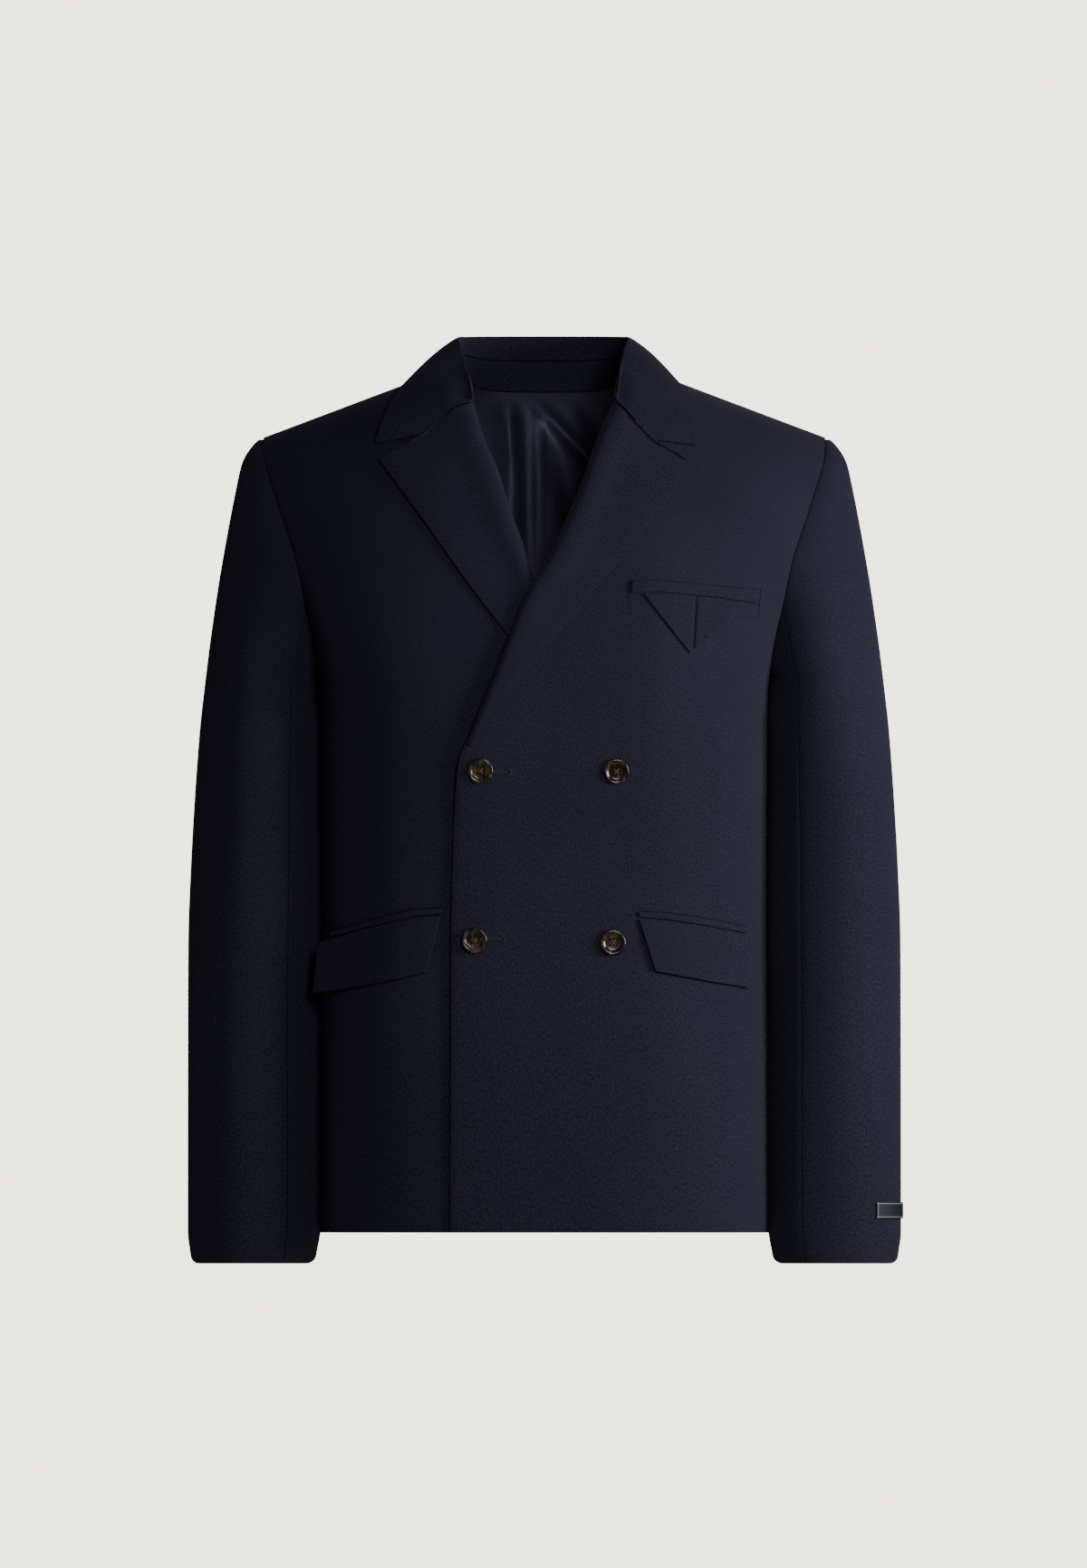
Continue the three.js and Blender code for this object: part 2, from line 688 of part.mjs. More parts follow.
const laid = (off) => (x, z) => front(x, z, lift(x, z) + off);

const JET_UP_RIGHT = [
  { x: -170, z: -424.8 },
  { x: -133.1, z: -414.3 },
  { x: -103, z: -406.8 },
  { x: -80.2, z: -406.1 },
];
const JET_LOW_RIGHT = [
  { x: -169.4, z: -428.6 },
  { x: -133.1, z: -419.3 },
  { x: -103, z: -412.3 },
  { x: -81.1, z: -410.2 },
];
const FLAP_UP_RIGHT = [
  { x: -178.8, z: -433 },
  { x: -148, z: -423.9 },
  { x: -112, z: -415.2 },
  { x: -81.9, z: -412 },
];
const FLAP_LOW_RIGHT = [
  { x: -183.4, z: -472.9 },
  { x: -150.4, z: -468.1 },
  { x: -115.8, z: -461.6 },
  { x: -93.2, z: -456 },
];
const JET_UP_LEFT = [
  { x: 74.4, z: -408.7 },
  { x: 96, z: -410 },
  { x: 124.1, z: -413.7 },
  { x: 159.8, z: -420.7 },
];
const JET_LOW_LEFT = [
  { x: 75.1, z: -412.9 },
  { x: 96, z: -414.8 },
  { x: 124.1, z: -418.8 },
  { x: 159.8, z: -425.4 },
];
const FLAP_UP_LEFT = [
  { x: 74.6, z: -414.4 },
  { x: 98, z: -416.6 },
  { x: 126, z: -420.8 },
  { x: 159.9, z: -427 },
];
const FLAP_LOW_LEFT = [
  { x: 87.9, z: -455.5 },
  { x: 110.1, z: -459.7 },
  { x: 133.4, z: -464 },
  { x: 163.7, z: -468.8 },
];
const POCKET_OFF = 0.4 + POCKET_CLOTH;
const jetRight = proud(-1, POCKET_OFF);
const jetLeft = proud(1, POCKET_OFF);
const flapRight = proud(-1, POCKET_OFF + 0.3);
const flapLeft = proud(1, POCKET_OFF);
add('pocket_jet_right', strip(JET_UP_RIGHT, JET_LOW_RIGHT, 9, 1, jetRight, POCKET_CLOTH, -1), NAVY);
add('pocket_flap_right', strip(FLAP_UP_RIGHT, FLAP_LOW_RIGHT, 9, 3, flapRight, POCKET_CLOTH, -1), NAVY);
add('pocket_jet_left', strip(JET_UP_LEFT, JET_LOW_LEFT, 9, 1, jetLeft, POCKET_CLOTH, -1), NAVY);
add('pocket_flap_left', strip(FLAP_UP_LEFT, FLAP_LOW_LEFT, 9, 3, flapLeft, POCKET_CLOTH, -1), NAVY);

// Chest pocket: a welt with a pointed flap below it
const WELT_UP = [
  { x: 69.6, z: -147.1 },
  { x: 92, z: -147.2 },
  { x: 114, z: -149.1 },
  { x: 138.6, z: -151.6 },
  { x: 169.7, z: -154.4 },
];
const WELT_LOW = [
  { x: 68.6, z: -156.9 },
  { x: 92, z: -156 },
  { x: 114, z: -158 },
  { x: 138.6, z: -160.6 },
  { x: 168, z: -165.2 },
];
const POINT_UP = [
  { x: 78.7, z: -157.6 },
  { x: 104.8, z: -158.1 },
  { x: 131, z: -160.7 },
  { x: 157.3, z: -164.3 },
];
const POINT_LOW = [
  { x: 113.8, z: -202.3 },
  { x: 115.8, z: -204.1 },
  { x: 117.9, z: -202.1 },
  { x: 127.9, z: -191.4 },
];
add('chest_welt', strip(WELT_UP, WELT_LOW, 12, 1, laid(POCKET_OFF), POCKET_CLOTH, -1), NAVY);
add('chest_flap', strip(POINT_UP, POINT_LOW, 9, 5, laid(POCKET_OFF), POCKET_CLOTH, -1), NAVY);

// Buttons: a turned disc with a raised rim and four holes, on its shank of thread
const BUTTONS = [
  { name: 'button_left_edge_upper', x: -50.5, z: -297.2, seat: -0.9 },
  { name: 'button_left_edge_lower', x: -55.2, z: -431.1, seat: 0.3 },
  { name: 'button_chest_upper', x: 56.6, z: -297.7, seat: -0.9 },
  { name: 'button_chest_lower', x: 54.1, z: -432.9, seat: 0.3 },
];
const BUTTON_SIDES = 24;

function button() {
  const r = BUTTON_R;
  const profile = [
    [0, 0], [r * 0.6, 0], [r * 0.93, 1.0], [r, 2.0], [r * 0.95, 3.3], [r * 0.86, BUTTON_DEEP],
    [r * 0.74, 3.2], [r * 0.6, 2.3], [0, 2.1],
  ].map(([x, y]) => new THREE.Vector2(x, y));
  const disc = toSolid(new THREE.LatheGeometry(profile, BUTTON_SIDES));
  const drills = [];
  for (const [sx, sz] of [[1, 1], [1, -1], [-1, 1], [-1, -1]]) {
    const drill = wasm.Manifold.cylinder(10, HOLE_R, HOLE_R, 8, true);
    drills.push(drill.rotate([90, 0, 0]).translate([sx * HOLE_OUT, 2, sz * HOLE_OUT]));
  }
  return disc.subtract(wasm.Manifold.union(drills));
}

function toSolid(geometry) {
  const pos = geometry.attributes.position;
  const seen = new Map();
  const verts = [];
  const index = [];
  const tris = [];
  for (let i = 0; i < pos.count; i += 1) {
    const key = [pos.getX(i), pos.getY(i), pos.getZ(i)].map((v) => v.toFixed(4)).join();
    const tidy = key.replace(/-0\.0000/g, '0.0000');
    if (!seen.has(tidy)) {
      seen.set(tidy, verts.length / 3);
      verts.push(pos.getX(i), pos.getY(i), pos.getZ(i));
    }
    index.push(seen.get(tidy));
  }
  for (let i = 0; i < geometry.index.count; i += 3) {
    const [a, b, c] = [0, 1, 2].map((k) => index[geometry.index.getX(i + k)]);
    if (a !== b && b !== c && a !== c) {
      tris.push(a, b, c);
    }
  }
  return new wasm.Manifold(new wasm.Mesh({
    numProp: 3,
    vertProperties: new Float32Array(verts),
    triVerts: new Uint32Array(tris),
  }));
}

function toGeometry(solid) {
  const mesh = solid.getMesh();
  const geometry = new THREE.BufferGeometry();
  geometry.setAttribute('position', new THREE.Float32BufferAttribute(mesh.vertProperties, 3));
  geometry.setIndex([...mesh.triVerts]);
  geometry.computeVertexNormals();
  return geometry;
}

for (const spot of BUTTONS) {
  const geometry = toGeometry(button());
  const at = laid(spot.seat)(spot.x, spot.z);
  const beside = laid(spot.seat)(spot.x + 8, spot.z);
  const below = laid(spot.seat)(spot.x, spot.z - 8);
  const normal = beside.sub(at).cross(at.clone().sub(below)).normalize();
  const turn = new THREE.Quaternion().setFromUnitVectors(new THREE.Vector3(0, 1, 0), normal);
  geometry.applyQuaternion(turn);
  geometry.translate(at.x, at.y, at.z);
  add(spot.name, geometry, HORN, 0.35);
}

// Small bare label round the outer edge of the left cuff
const LABEL_TOP = -637.8;
const LABEL_LOW = -650.7;
const LABEL_FROM = 0.9;
const LABEL_TO = -0.42;
const LABEL_CLOTH = 1.0;
const labelGrid = [LABEL_TOP, (LABEL_TOP + LABEL_LOW) / 2, LABEL_LOW].map((z) => {
  const row = [];
  for (let j = 0; j <= 8; j += 1) {
    const p = onOval(oval(z), mix(LABEL_TO, LABEL_FROM, j / 8), 1, LAY + LABEL_CLOTH);
    row.push(new THREE.Vector3(p.x, p.y, z));
  }
  return row;
});
add('sleeve_label', sheet(labelGrid, LABEL_CLOTH, 1), 0x1c1e30);

export default group;
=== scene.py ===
"""Double breasted blazer in its worn shape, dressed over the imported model.

Tables are in millimetres, as in the part's source; pieces are made in metres.
Front toward -Y, the wearer's left toward +X, origin at the back neck seam.
"""
import json
import math

import bpy
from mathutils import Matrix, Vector

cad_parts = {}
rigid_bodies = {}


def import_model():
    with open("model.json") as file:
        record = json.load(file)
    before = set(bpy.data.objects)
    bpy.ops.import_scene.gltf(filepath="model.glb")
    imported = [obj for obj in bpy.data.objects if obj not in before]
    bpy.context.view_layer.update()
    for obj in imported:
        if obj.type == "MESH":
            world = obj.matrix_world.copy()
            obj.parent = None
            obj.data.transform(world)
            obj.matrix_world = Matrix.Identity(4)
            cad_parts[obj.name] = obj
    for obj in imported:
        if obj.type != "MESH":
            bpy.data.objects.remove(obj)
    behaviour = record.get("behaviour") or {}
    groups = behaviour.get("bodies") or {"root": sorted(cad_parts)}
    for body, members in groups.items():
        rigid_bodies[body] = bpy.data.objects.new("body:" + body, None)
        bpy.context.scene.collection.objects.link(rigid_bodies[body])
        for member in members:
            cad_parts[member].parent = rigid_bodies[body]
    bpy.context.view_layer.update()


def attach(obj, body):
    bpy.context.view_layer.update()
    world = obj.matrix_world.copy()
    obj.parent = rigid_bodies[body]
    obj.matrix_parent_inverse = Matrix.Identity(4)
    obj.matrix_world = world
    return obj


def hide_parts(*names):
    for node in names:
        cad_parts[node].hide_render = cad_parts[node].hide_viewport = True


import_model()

MM = 0.001

# Camera: level, straight at the front, with no perspective. PIXEL is a photo pixel in mm
PIXEL = 0.715
PHOTO_HEIGHT = 1731
CAMERA_AWAY = 4
CENTRE_X = -0.7
CENTRE_Z = -307.8

# Columns: z, wide, front, back
BODY = [
    (60, 240, 116, 114), (-38, 233, 120, 118), (-62, 227, 123, 120), (-100, 216, 128, 121),
    (-146, 201, 131, 120), (-190, 185.7, 132, 117), (-215, 179.9, 132, 115),
    (-235, 176.3, 131, 113), (-300, 175.6, 129, 107), (-420, 175.2, 125, 99),
    (-540, 175.6, 126, 108), (-700, 176.0, 128, 118),
]
# Columns: z, x
ARMHOLE = [
    (-30, 222), (-50, 221), (-62, 218), (-81, 212), (-100, 206), (-113, 201.5), (-125, 197.5),
    (-146, 192.5), (-170, 187.5), (-190, 183), (-211, 179.5), (-235, 176.3),
]
# Columns: z, outer
CAP = [
    (-35, 224), (-39, 228.5), (-46.5, 234), (-54, 237.7), (-61, 240), (-75, 243.4), (-89, 246.3),
    (-118, 251.7), (-147, 256.7), (-175, 261), (-204, 265), (-235, 268.8),
]
# Columns: z, outer, inner, mid, front, back
SLEEVE = [
    (-235, 268.8, 176.8, 0, 60, 52), (-261, 271.7, 177.0, -1, 59.5, 54),
    (-318, 276, 177.0, -3, 57, 55), (-375, 279.2, 177.0, -6, 54, 54),
    (-433, 281.2, 177.0, -9, 52, 52), (-540, 281.5, 177.1, -14, 48, 48),
    (-640, 281.6, 177.3, -18, 44, 44), (-664, 281.6, 177.8, -19, 43, 43),
    (-686.4, 279.2, 181.0, -20, 41, 41),
]
# Columns: z, x
EDGE_LEFT = [
    (21, 75), (8, 66), (-5, 55.5), (-41.5, 38.6), (-63.6, 31.5), (-90.8, 20.4), (-110.8, 11.4),
    (-129, 2.1), (-157.3, -14.3), (-202.3, -32.2), (-221, -39.3), (-238, -46.5), (-255.3, -53.6),
    (-269.6, -59.3), (-282.4, -65), (-294.6, -68.6), (-313.6, -70), (-351.8, -71.9),
    (-441, -73.7), (-662, -74.4),
]
# Columns: z, x
EDGE_RIGHT = [
    (21, -75), (8, -66.5), (-5, -56), (-35.8, -47.2), (-56, -37.9), (-77.9, -30.7), (-96.2, -25),
    (-114.4, -17.9), (-132.7, -12.4), (-175, 2), (-215, 20), (-255, 44), (-281, 60), (-300, 66),
    (-390, 70), (-662, 72),
]
# Columns: rollX, rollZ, edgeX, edgeZ
LAPEL_LEFT = [
    (55.5, -6.5, 118, -56.1), (49.5, -17, 111.5, -63.4), (38.9, -41.5, 93.4, -87.2),
    (28.6, -72, 75, -110.8), (18.8, -95, 56.9, -134.4), (7, -120, 38.6, -156.6),
    (-5.9, -143, 20.4, -180.2), (-15.9, -160, 6.4, -195.9), (-25.8, -186, -9.3, -213.8),
    (-39, -221, -27.9, -239.5), (-49.6, -246, -42.2, -256.7), (-57.5, -265.5, -52.2, -271.5),
    (-61.8, -276, -57.5, -278.4),
]
# Columns: rollX, rollZ, edgeX, edgeZ
LAPEL_RIGHT = [
    (-56, -6.5, -130.8, -51.4), (-52.8, -18, -124, -60.6), (-47.4, -35.8, -109, -81),
    (-38.1, -56, -93, -103), (-30.9, -78, -77, -125.6), (-25, -96.5, -61.5, -147.3),
    (-17.9, -114.8, -43.6, -170.9), (-12.3, -133.6, -30.7, -187.3), (2, -175, -12, -211),
    (20, -215, 14, -235), (40, -249, 36, -258), (54, -271, 51, -275),
]
# Columns: x, z
TOP_LEFT = [
    (55.5, -6.5), (62.2, -11.9), (71.5, -22.5), (80.8, -31.8), (86.2, -37.4), (93.4, -41.5),
    (105, -48), (118, -56.1),
]
# Columns: x, z
TOP_RIGHT = [
    (-56, -6.5), (-71, -10.6), (-80, -19), (-89, -26.8), (-95.4, -32.6), (-107.3, -38.1),
    (-119, -44.4), (-130.8, -51.4),
]
# Columns: x, z
JET_UP_RIGHT = [
    (-170, -424.8), (-133.1, -414.3), (-103, -406.8), (-80.2, -406.1),
]
# Columns: x, z
JET_LOW_RIGHT = [
    (-169.4, -428.6), (-133.1, -419.3), (-103, -412.3), (-81.1, -410.2),
]
# Columns: x, z
FLAP_UP_RIGHT = [
    (-178.8, -433), (-148, -423.9), (-112, -415.2), (-81.9, -412),
]
# Columns: x, z
FLAP_LOW_RIGHT = [
    (-183.4, -472.9), (-150.4, -468.1), (-115.8, -461.6), (-93.2, -456),
]
# Columns: x, z
JET_UP_LEFT = [
    (74.4, -408.7), (96, -410), (124.1, -413.7), (159.8, -420.7),
]
# Columns: x, z
JET_LOW_LEFT = [
    (75.1, -412.9), (96, -414.8), (124.1, -418.8), (159.8, -425.4),
]
# Columns: x, z
FLAP_UP_LEFT = [
    (74.6, -414.4), (98, -416.6), (126, -420.8), (159.9, -427),
]
# Columns: x, z
FLAP_LOW_LEFT = [
    (87.9, -455.5), (110.1, -459.7), (133.4, -464), (163.7, -468.8),
]
# Columns: x, z
WELT_UP = [
    (69.6, -147.1), (92, -147.2), (114, -149.1), (138.6, -151.6), (169.7, -154.4),
]
# Columns: x, z
WELT_LOW = [
    (68.6, -156.9), (92, -156), (114, -158), (138.6, -160.6), (168, -165.2),
]
# Columns: x, z
POINT_UP = [
    (78.7, -157.6), (104.8, -158.1), (131, -160.7), (157.3, -164.3),
]
# Columns: x, z
POINT_LOW = [
    (113.8, -202.3), (115.8, -204.1), (117.9, -202.1), (127.9, -191.4),
]

# Body form
HEM_Z = -662
NECK_X = 75
NECK_Z = 21
NECK_RISE = 9
SHOULDER_SLOPE = 0.377
TIP_X = 222
TIP_Z = -34.4
ARCH = 200
SQUARE = 3
UNDERARM_Z = -235
CAP_FREE_Z = -140
OVERLAP_LIFT = 6.4
LAY = 0.9
CLOTH = 1.5
SEAM = 0.3


def mix(a, b, t):
    return a + (b - a) * t


def smooth(value):
    t = min(1, max(0, value))
    return t * t * (3 - 2 * t)


def bump(value, middle, reach):
    """A soft hill of height 1 at middle."""
    return math.exp(-(((value - middle) / reach) ** 2))


def read(rows, z, column):
    """One column of a table at a height, smooth and without overshoot."""
    count = len(rows)
    at = min(-rows[-1][0], max(-rows[0][0], -z))
    i = 0
    while i < count - 2 and at > -rows[i + 1][0]:
        i += 1

    def rise(k):
        return (rows[k + 1][column] - rows[k][column]) / (rows[k][0] - rows[k + 1][0])

    def slope(k):
        if k == 0:
            return rise(0)
        if k == count - 1:
            return rise(count - 2)
        a, b = rise(k - 1), rise(k)
        return 0 if a * b <= 0 else 2 * a * b / (a + b)

    h = rows[i][0] - rows[i + 1][0]
    t = (at + rows[i][0]) / h
    t2, t3 = t * t, t * t * t
    return (
        (2 * t3 - 3 * t2 + 1) * rows[i][column]
        + (t3 - 2 * t2 + t) * h * slope(i)
        + (3 * t2 - 2 * t3) * rows[i + 1][column]
        + (t3 - t2) * h * slope(i + 1)
    )


def through(rows, t, column):
    """One column of a table whose rows lie evenly along a line, as a smooth curve."""
    at = t * (len(rows) - 1)
    i = min(int(at), len(rows) - 2)
    f = at - i
    a, b = rows[i][column], rows[i + 1][column]
    before = rows[i - 1][column] if i > 0 else 2 * a - b
    after = rows[i + 2][column] if i + 2 < len(rows) else 2 * b - a
    return 0.5 * (
        2 * a
        + (b - before) * f
        + (2 * before - 5 * a + 4 * b - after) * f * f
        + (3 * a - before - 3 * b + after) * f * f * f
    )


def straight(rows, t):
    """A point along a line of corners, joined by straight lines."""
    at = t * (len(rows) - 1)
    i = min(int(at), len(rows) - 2)
    return [mix(a, b, at - i) for a, b in zip(rows[i], rows[i + 1])]


def shoulder(x):
    across = abs(x)
    if across > NECK_X:
        return NECK_Z - SHOULDER_SLOPE * (across - NECK_X)
    return NECK_Z + NECK_RISE * (1 - (across / NECK_X) ** 2)


def depth(x, z, column, off=0):
    """How far the body's front (2) or back (3) stands from the plane y = 0."""
    wide = read(BODY, z, 1) + off
    deep = read(BODY, z, column) + off
    across = min(1, abs(x) / wide)
    drop = min(1, max(0, (shoulder(x) + off - z) / ARCH))
    return deep * (1 - across**SQUARE) ** (1 / SQUARE) * math.sqrt(1 - (1 - drop) ** 2)


def lift(x, z):
    """The left front lies over the right one, so it stands off near its edge."""
    down = smooth((-z - 60) / 70)
    side = 1 - smooth((x - 76) / 64)
    settle = mix(OVERLAP_LIFT, 2.9, smooth((-z - 290) / 60))
    return settle * down * side


def front(x, z, off=0):
    return Vector((x, -depth(x, z, 2, off), z))


# Materials
def nodes_of(material):
    material.use_nodes = True
    tree = material.node_tree
    return tree, tree.nodes["Principled BSDF"]


def link(tree, source, target):
    tree.links.new(source, target)


def add_node(tree, kind, **values):
    node = tree.nodes.new(kind)
    for key, value in values.items():
        if hasattr(node, key):
            setattr(node, key, value)
        else:
            node.inputs[key.replace("_", " ")].default_value = value
    return node


def woven(name, dark, light, pitch=0.0011, rough=0.9, sheen=0.1, relief=0.35):
    """Wool twill: fine diagonal ribs, a slub in the yarn and a soft bloom."""
    material = bpy.data.materials.new(name)
    tree, surface = nodes_of(material)
    uv = add_node(tree, "ShaderNodeTexCoord")
    turn = add_node(tree, "ShaderNodeMapping")
    turn.inputs["Rotation"].default_value = (0, 0, math.radians(52))
    link(tree, uv.outputs["UV"], turn.inputs["Vector"])
    rib = add_node(tree, "ShaderNodeTexWave", bands_direction="X", Scale=0.314 / pitch,
                   Distortion=1.2)
    rib.inputs["Detail"].default_value = 2
    rib.inputs["Detail Scale"].default_value = 2.5
    link(tree, turn.outputs["Vector"], rib.inputs["Vector"])
    slub = add_node(tree, "ShaderNodeTexNoise", Scale=620.0, Detail=1.0, Roughness=0.8)
    link(tree, uv.outputs["UV"], slub.inputs["Vector"])
    shade = add_node(tree, "ShaderNodeTexNoise", Scale=6.0, Detail=2.0)
    link(tree, uv.outputs["UV"], shade.inputs["Vector"])
    both = add_node(tree, "ShaderNodeMath", operation="MULTIPLY_ADD")
    link(tree, rib.outputs["Fac"], both.inputs[0])
    both.inputs[1].default_value = 0.45
    link(tree, slub.outputs["Fac"], both.inputs[2])
    soft = add_node(tree, "ShaderNodeMath", operation="MULTIPLY_ADD")
    link(tree, shade.outputs["Fac"], soft.inputs[0])
    soft.inputs[1].default_value = 0.25
    link(tree, both.outputs["Value"], soft.inputs[2])
    ramp = add_node(tree, "ShaderNodeValToRGB")
    ramp.color_ramp.elements[0].position = 0.66
    ramp.color_ramp.elements[0].color = (*dark, 1)
    ramp.color_ramp.elements[1].position = 1.0
    ramp.color_ramp.elements[1].color = (*light, 1)
    link(tree, soft.outputs["Value"], ramp.inputs["Fac"])
    link(tree, ramp.outputs["Color"], surface.inputs["Base Color"])
    grain = add_node(tree, "ShaderNodeBump", Strength=relief, Distance=0.0004)
    link(tree, both.outputs["Value"], grain.inputs["Height"])
    link(tree, grain.outputs["Normal"], surface.inputs["Normal"])
    surface.inputs["Roughness"].default_value = rough
    surface.inputs["Specular IOR Level"].default_value = 0.25
    surface.inputs["Sheen Weight"].default_value = sheen
    surface.inputs["Sheen Roughness"].default_value = 0.5
    surface.inputs["Sheen Tint"].default_value = (0.55, 0.55, 0.75, 1)
    return material


def satin(name, dark, light):
    """Lining satin: close, smooth floats that catch the light along the folds."""
    material = bpy.data.materials.new(name)
    tree, surface = nodes_of(material)
    uv = add_node(tree, "ShaderNodeTexCoord")
    stretch = add_node(tree, "ShaderNodeMapping")
    stretch.inputs["Scale"].default_value = (1, 0.12, 1)
    link(tree, uv.outputs["UV"], stretch.inputs["Vector"])
    floats = add_node(tree, "ShaderNodeTexNoise", Scale=900.0, Detail=3.0)
    link(tree, stretch.outputs["Vector"], floats.inputs["Vector"])
    ramp = add_node(tree, "ShaderNodeValToRGB")
    ramp.color_ramp.elements[0].color = (*dark, 1)
    ramp.color_ramp.elements[1].color = (*light, 1)
    link(tree, floats.outputs["Fac"], ramp.inputs["Fac"])
    link(tree, ramp.outputs["Color"], surface.inputs["Base Color"])
    grain = add_node(tree, "ShaderNodeBump", Strength=0.12, Distance=0.0002)
    link(tree, floats.outputs["Fac"], grain.inputs["Height"])
    link(tree, grain.outputs["Normal"], surface.inputs["Normal"])
    across = add_node(tree, "ShaderNodeTangent", direction_type="UV_MAP")
    link(tree, across.outputs["Tangent"], surface.inputs["Tangent"])
    surface.inputs["Roughness"].default_value = 0.52
    surface.inputs["Specular IOR Level"].default_value = 1.0
    surface.inputs["Metallic"].default_value = 0.6
    surface.inputs["Anisotropic"].default_value = 0.7
    surface.inputs["Anisotropic Rotation"].default_value = 0.25
    return material


def plain(name, colour, rough, specular=0.5):
    """One colour, with a faint speckle a fifth darker and lighter."""
    material = bpy.data.materials.new(name)
    tree, surface = nodes_of(material)
    place = add_node(tree, "ShaderNodeTexCoord")
    noise = add_node(tree, "ShaderNodeTexNoise", Scale=400.0, Detail=3.0)
    link(tree, place.outputs["Object"], noise.inputs["Vector"])
    ramp = add_node(tree, "ShaderNodeValToRGB")
    ramp.color_ramp.elements[0].color = (*[c * 0.8 for c in colour], 1)
    ramp.color_ramp.elements[1].color = (*[min(1, c * 1.2) for c in colour], 1)
    link(tree, noise.outputs["Fac"], ramp.inputs["Fac"])
    link(tree, ramp.outputs["Color"], surface.inputs["Base Color"])
    surface.inputs["Roughness"].default_value = rough
    surface.inputs["Specular IOR Level"].default_value = specular
    return material


def horn(name):
    """Polished horn: dark brown, with a cloudy lighter streak and fine fibres."""
    material = bpy.data.materials.new(name)
    tree, surface = nodes_of(material)
    place = add_node(tree, "ShaderNodeTexCoord")
    fibre = add_node(tree, "ShaderNodeMapping")
    fibre.inputs["Scale"].default_value = (1, 1, 0.25)
    fibre.inputs["Rotation"].default_value = (0, 0.7, 0)
    link(tree, place.outputs["Object"], fibre.inputs["Vector"])
    cloud = add_node(tree, "ShaderNodeTexNoise", Scale=160.0, Detail=4.0, Distortion=1.5)
    link(tree, fibre.outputs["Vector"], cloud.inputs["Vector"])
    ramp = add_node(tree, "ShaderNodeValToRGB")
    ramp.color_ramp.elements[0].position = 0.38
    ramp.color_ramp.elements[0].color = (0.009, 0.006, 0.004, 1)
    ramp.color_ramp.elements[1].position = 0.68
    ramp.color_ramp.elements[1].color = (0.17, 0.115, 0.066, 1)
    middle = ramp.color_ramp.elements.new(0.52)
    middle.color = (0.03, 0.02, 0.012, 1)
    link(tree, cloud.outputs["Fac"], ramp.inputs["Fac"])
    link(tree, ramp.outputs["Color"], surface.inputs["Base Color"])
    surface.inputs["Roughness"].default_value = 0.22
    surface.inputs["Coat Weight"].default_value = 0.6
    surface.inputs["Coat Roughness"].default_value = 0.1
    return material


NAVY_DARK = (0.0080, 0.0074, 0.0180)
NAVY_LIGHT = (0.0400, 0.0374, 0.0690)
body_wool = woven("navy wool twill", NAVY_DARK, NAVY_LIGHT)
lining_satin = satin("navy satin lining", (0.076, 0.073, 0.127), (0.14, 0.135, 0.228))
button_horn = horn("dark horn")
sewing_thread = plain("navy sewing thread", (0.03, 0.03, 0.05), 0.6)
# Thread far darker than the sewing thread, a shaded copy of it: painted shade for the seam lines
# and grooves it is laid along
seam_shade_thread = plain("navy thread darkened as painted seam shade", (0.005, 0.005, 0.011), 0.8, 0.1)
button_thread = plain("golden brown button thread", (0.16, 0.09, 0.03), 0.7)
hole_thread = plain("navy buttonhole thread", (0.035, 0.035, 0.055), 0.6)


# Making pieces
def bare():
    """Nothing selected, no active piece."""
    for obj in bpy.context.view_layer.objects:
        obj.select_set(False)
    bpy.context.view_layer.objects.active = None


def apply(piece, kind, **values):
    modifier = piece.modifiers.new(kind.title(), kind)
    for key, value in values.items():
        setattr(modifier, key, value)
    bare()
    piece.select_set(True)
    bpy.context.view_layer.objects.active = piece
    bpy.ops.object.modifier_apply(modifier=modifier.name)


def finish_piece(piece, name, material, slot, *cad):
    piece.name = name
    piece.data.name = name
    piece.data.materials.clear()
    piece.data.materials.append(material)
    if cad:
        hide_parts(*cad)
    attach(piece, "root")


def cloth(name, cols, rows, place, wall, material, slot, cad, size, turned=False, edge=0.35):
    """A sheet from a grid. place(u, w) runs across and down, in mm; size is its cut in m."""
    bare()
    bpy.ops.mesh.primitive_grid_add(x_subdivisions=cols, y_subdivisions=rows, size=2)
    piece = bpy.context.object
    for vertex in piece.data.vertices:
        u = (vertex.co.x + 1) / 2
        w = (1 - vertex.co.y) / 2
        vertex.co = Vector(place(u, w)) * MM
    for loop in piece.data.uv_layers.active.data:
        loop.uv = (loop.uv.x * size[0], loop.uv.y * size[1])
    if turned:
        bpy.ops.object.mode_set(mode="EDIT")
        bpy.ops.mesh.select_all(action="SELECT")
        bpy.ops.mesh.flip_normals()
        bpy.ops.object.mode_set(mode="OBJECT")
    apply(piece, "SOLIDIFY", thickness=wall * MM, offset=-1, use_even_offset=False)
    if edge:
        apply(piece, "BEVEL", width=edge * MM, segments=2, limit_method="ANGLE",
              angle_limit=math.radians(60))
    bpy.ops.object.shade_smooth_by_angle(angle=math.radians(50))
    finish_piece(piece, name, material, slot, *cad)


def spread(w):
    """Rows closer together near the shoulder."""
    return w**1.8


def side_edge(z):
    """How far out the armhole, and below it the side seam, runs."""
    if z < UNDERARM_Z:
        return read(BODY, z, 1)
    return min(read(BODY, z, 1), read(ARMHOLE, z, 1))


# Fronts
def front_point(edge, side, off):
    def place(u, w):
        f = spread(w)
        z_out = mix(TIP_Z, HEM_Z, f)
        z_in = mix(NECK_Z, HEM_Z, f)
        x_in = read(edge, z_in, 1)
        x_out = side * side_edge(z_out)
        t = math.sin(u * math.pi / 2)
        x = mix(x_in, x_out, t)
        z = mix(z_in, z_out, t)
        p = front(x, z, off(x, z))
        p.y = min(p.y, -SEAM)
        return p

    return place


def front_form(x, z):
    """Shallow folds of the fronts, in mm."""
    fold = 1.1 * bump(x, 168, 12) * smooth((-z - 200) / 100)
    fold -= 0.9 * bump(x, 120, 20) * smooth((-z - 480) / 120)
    fold += 0.8 * bump(x, 20, 40) * bump(z, -520, 90)
    return fold


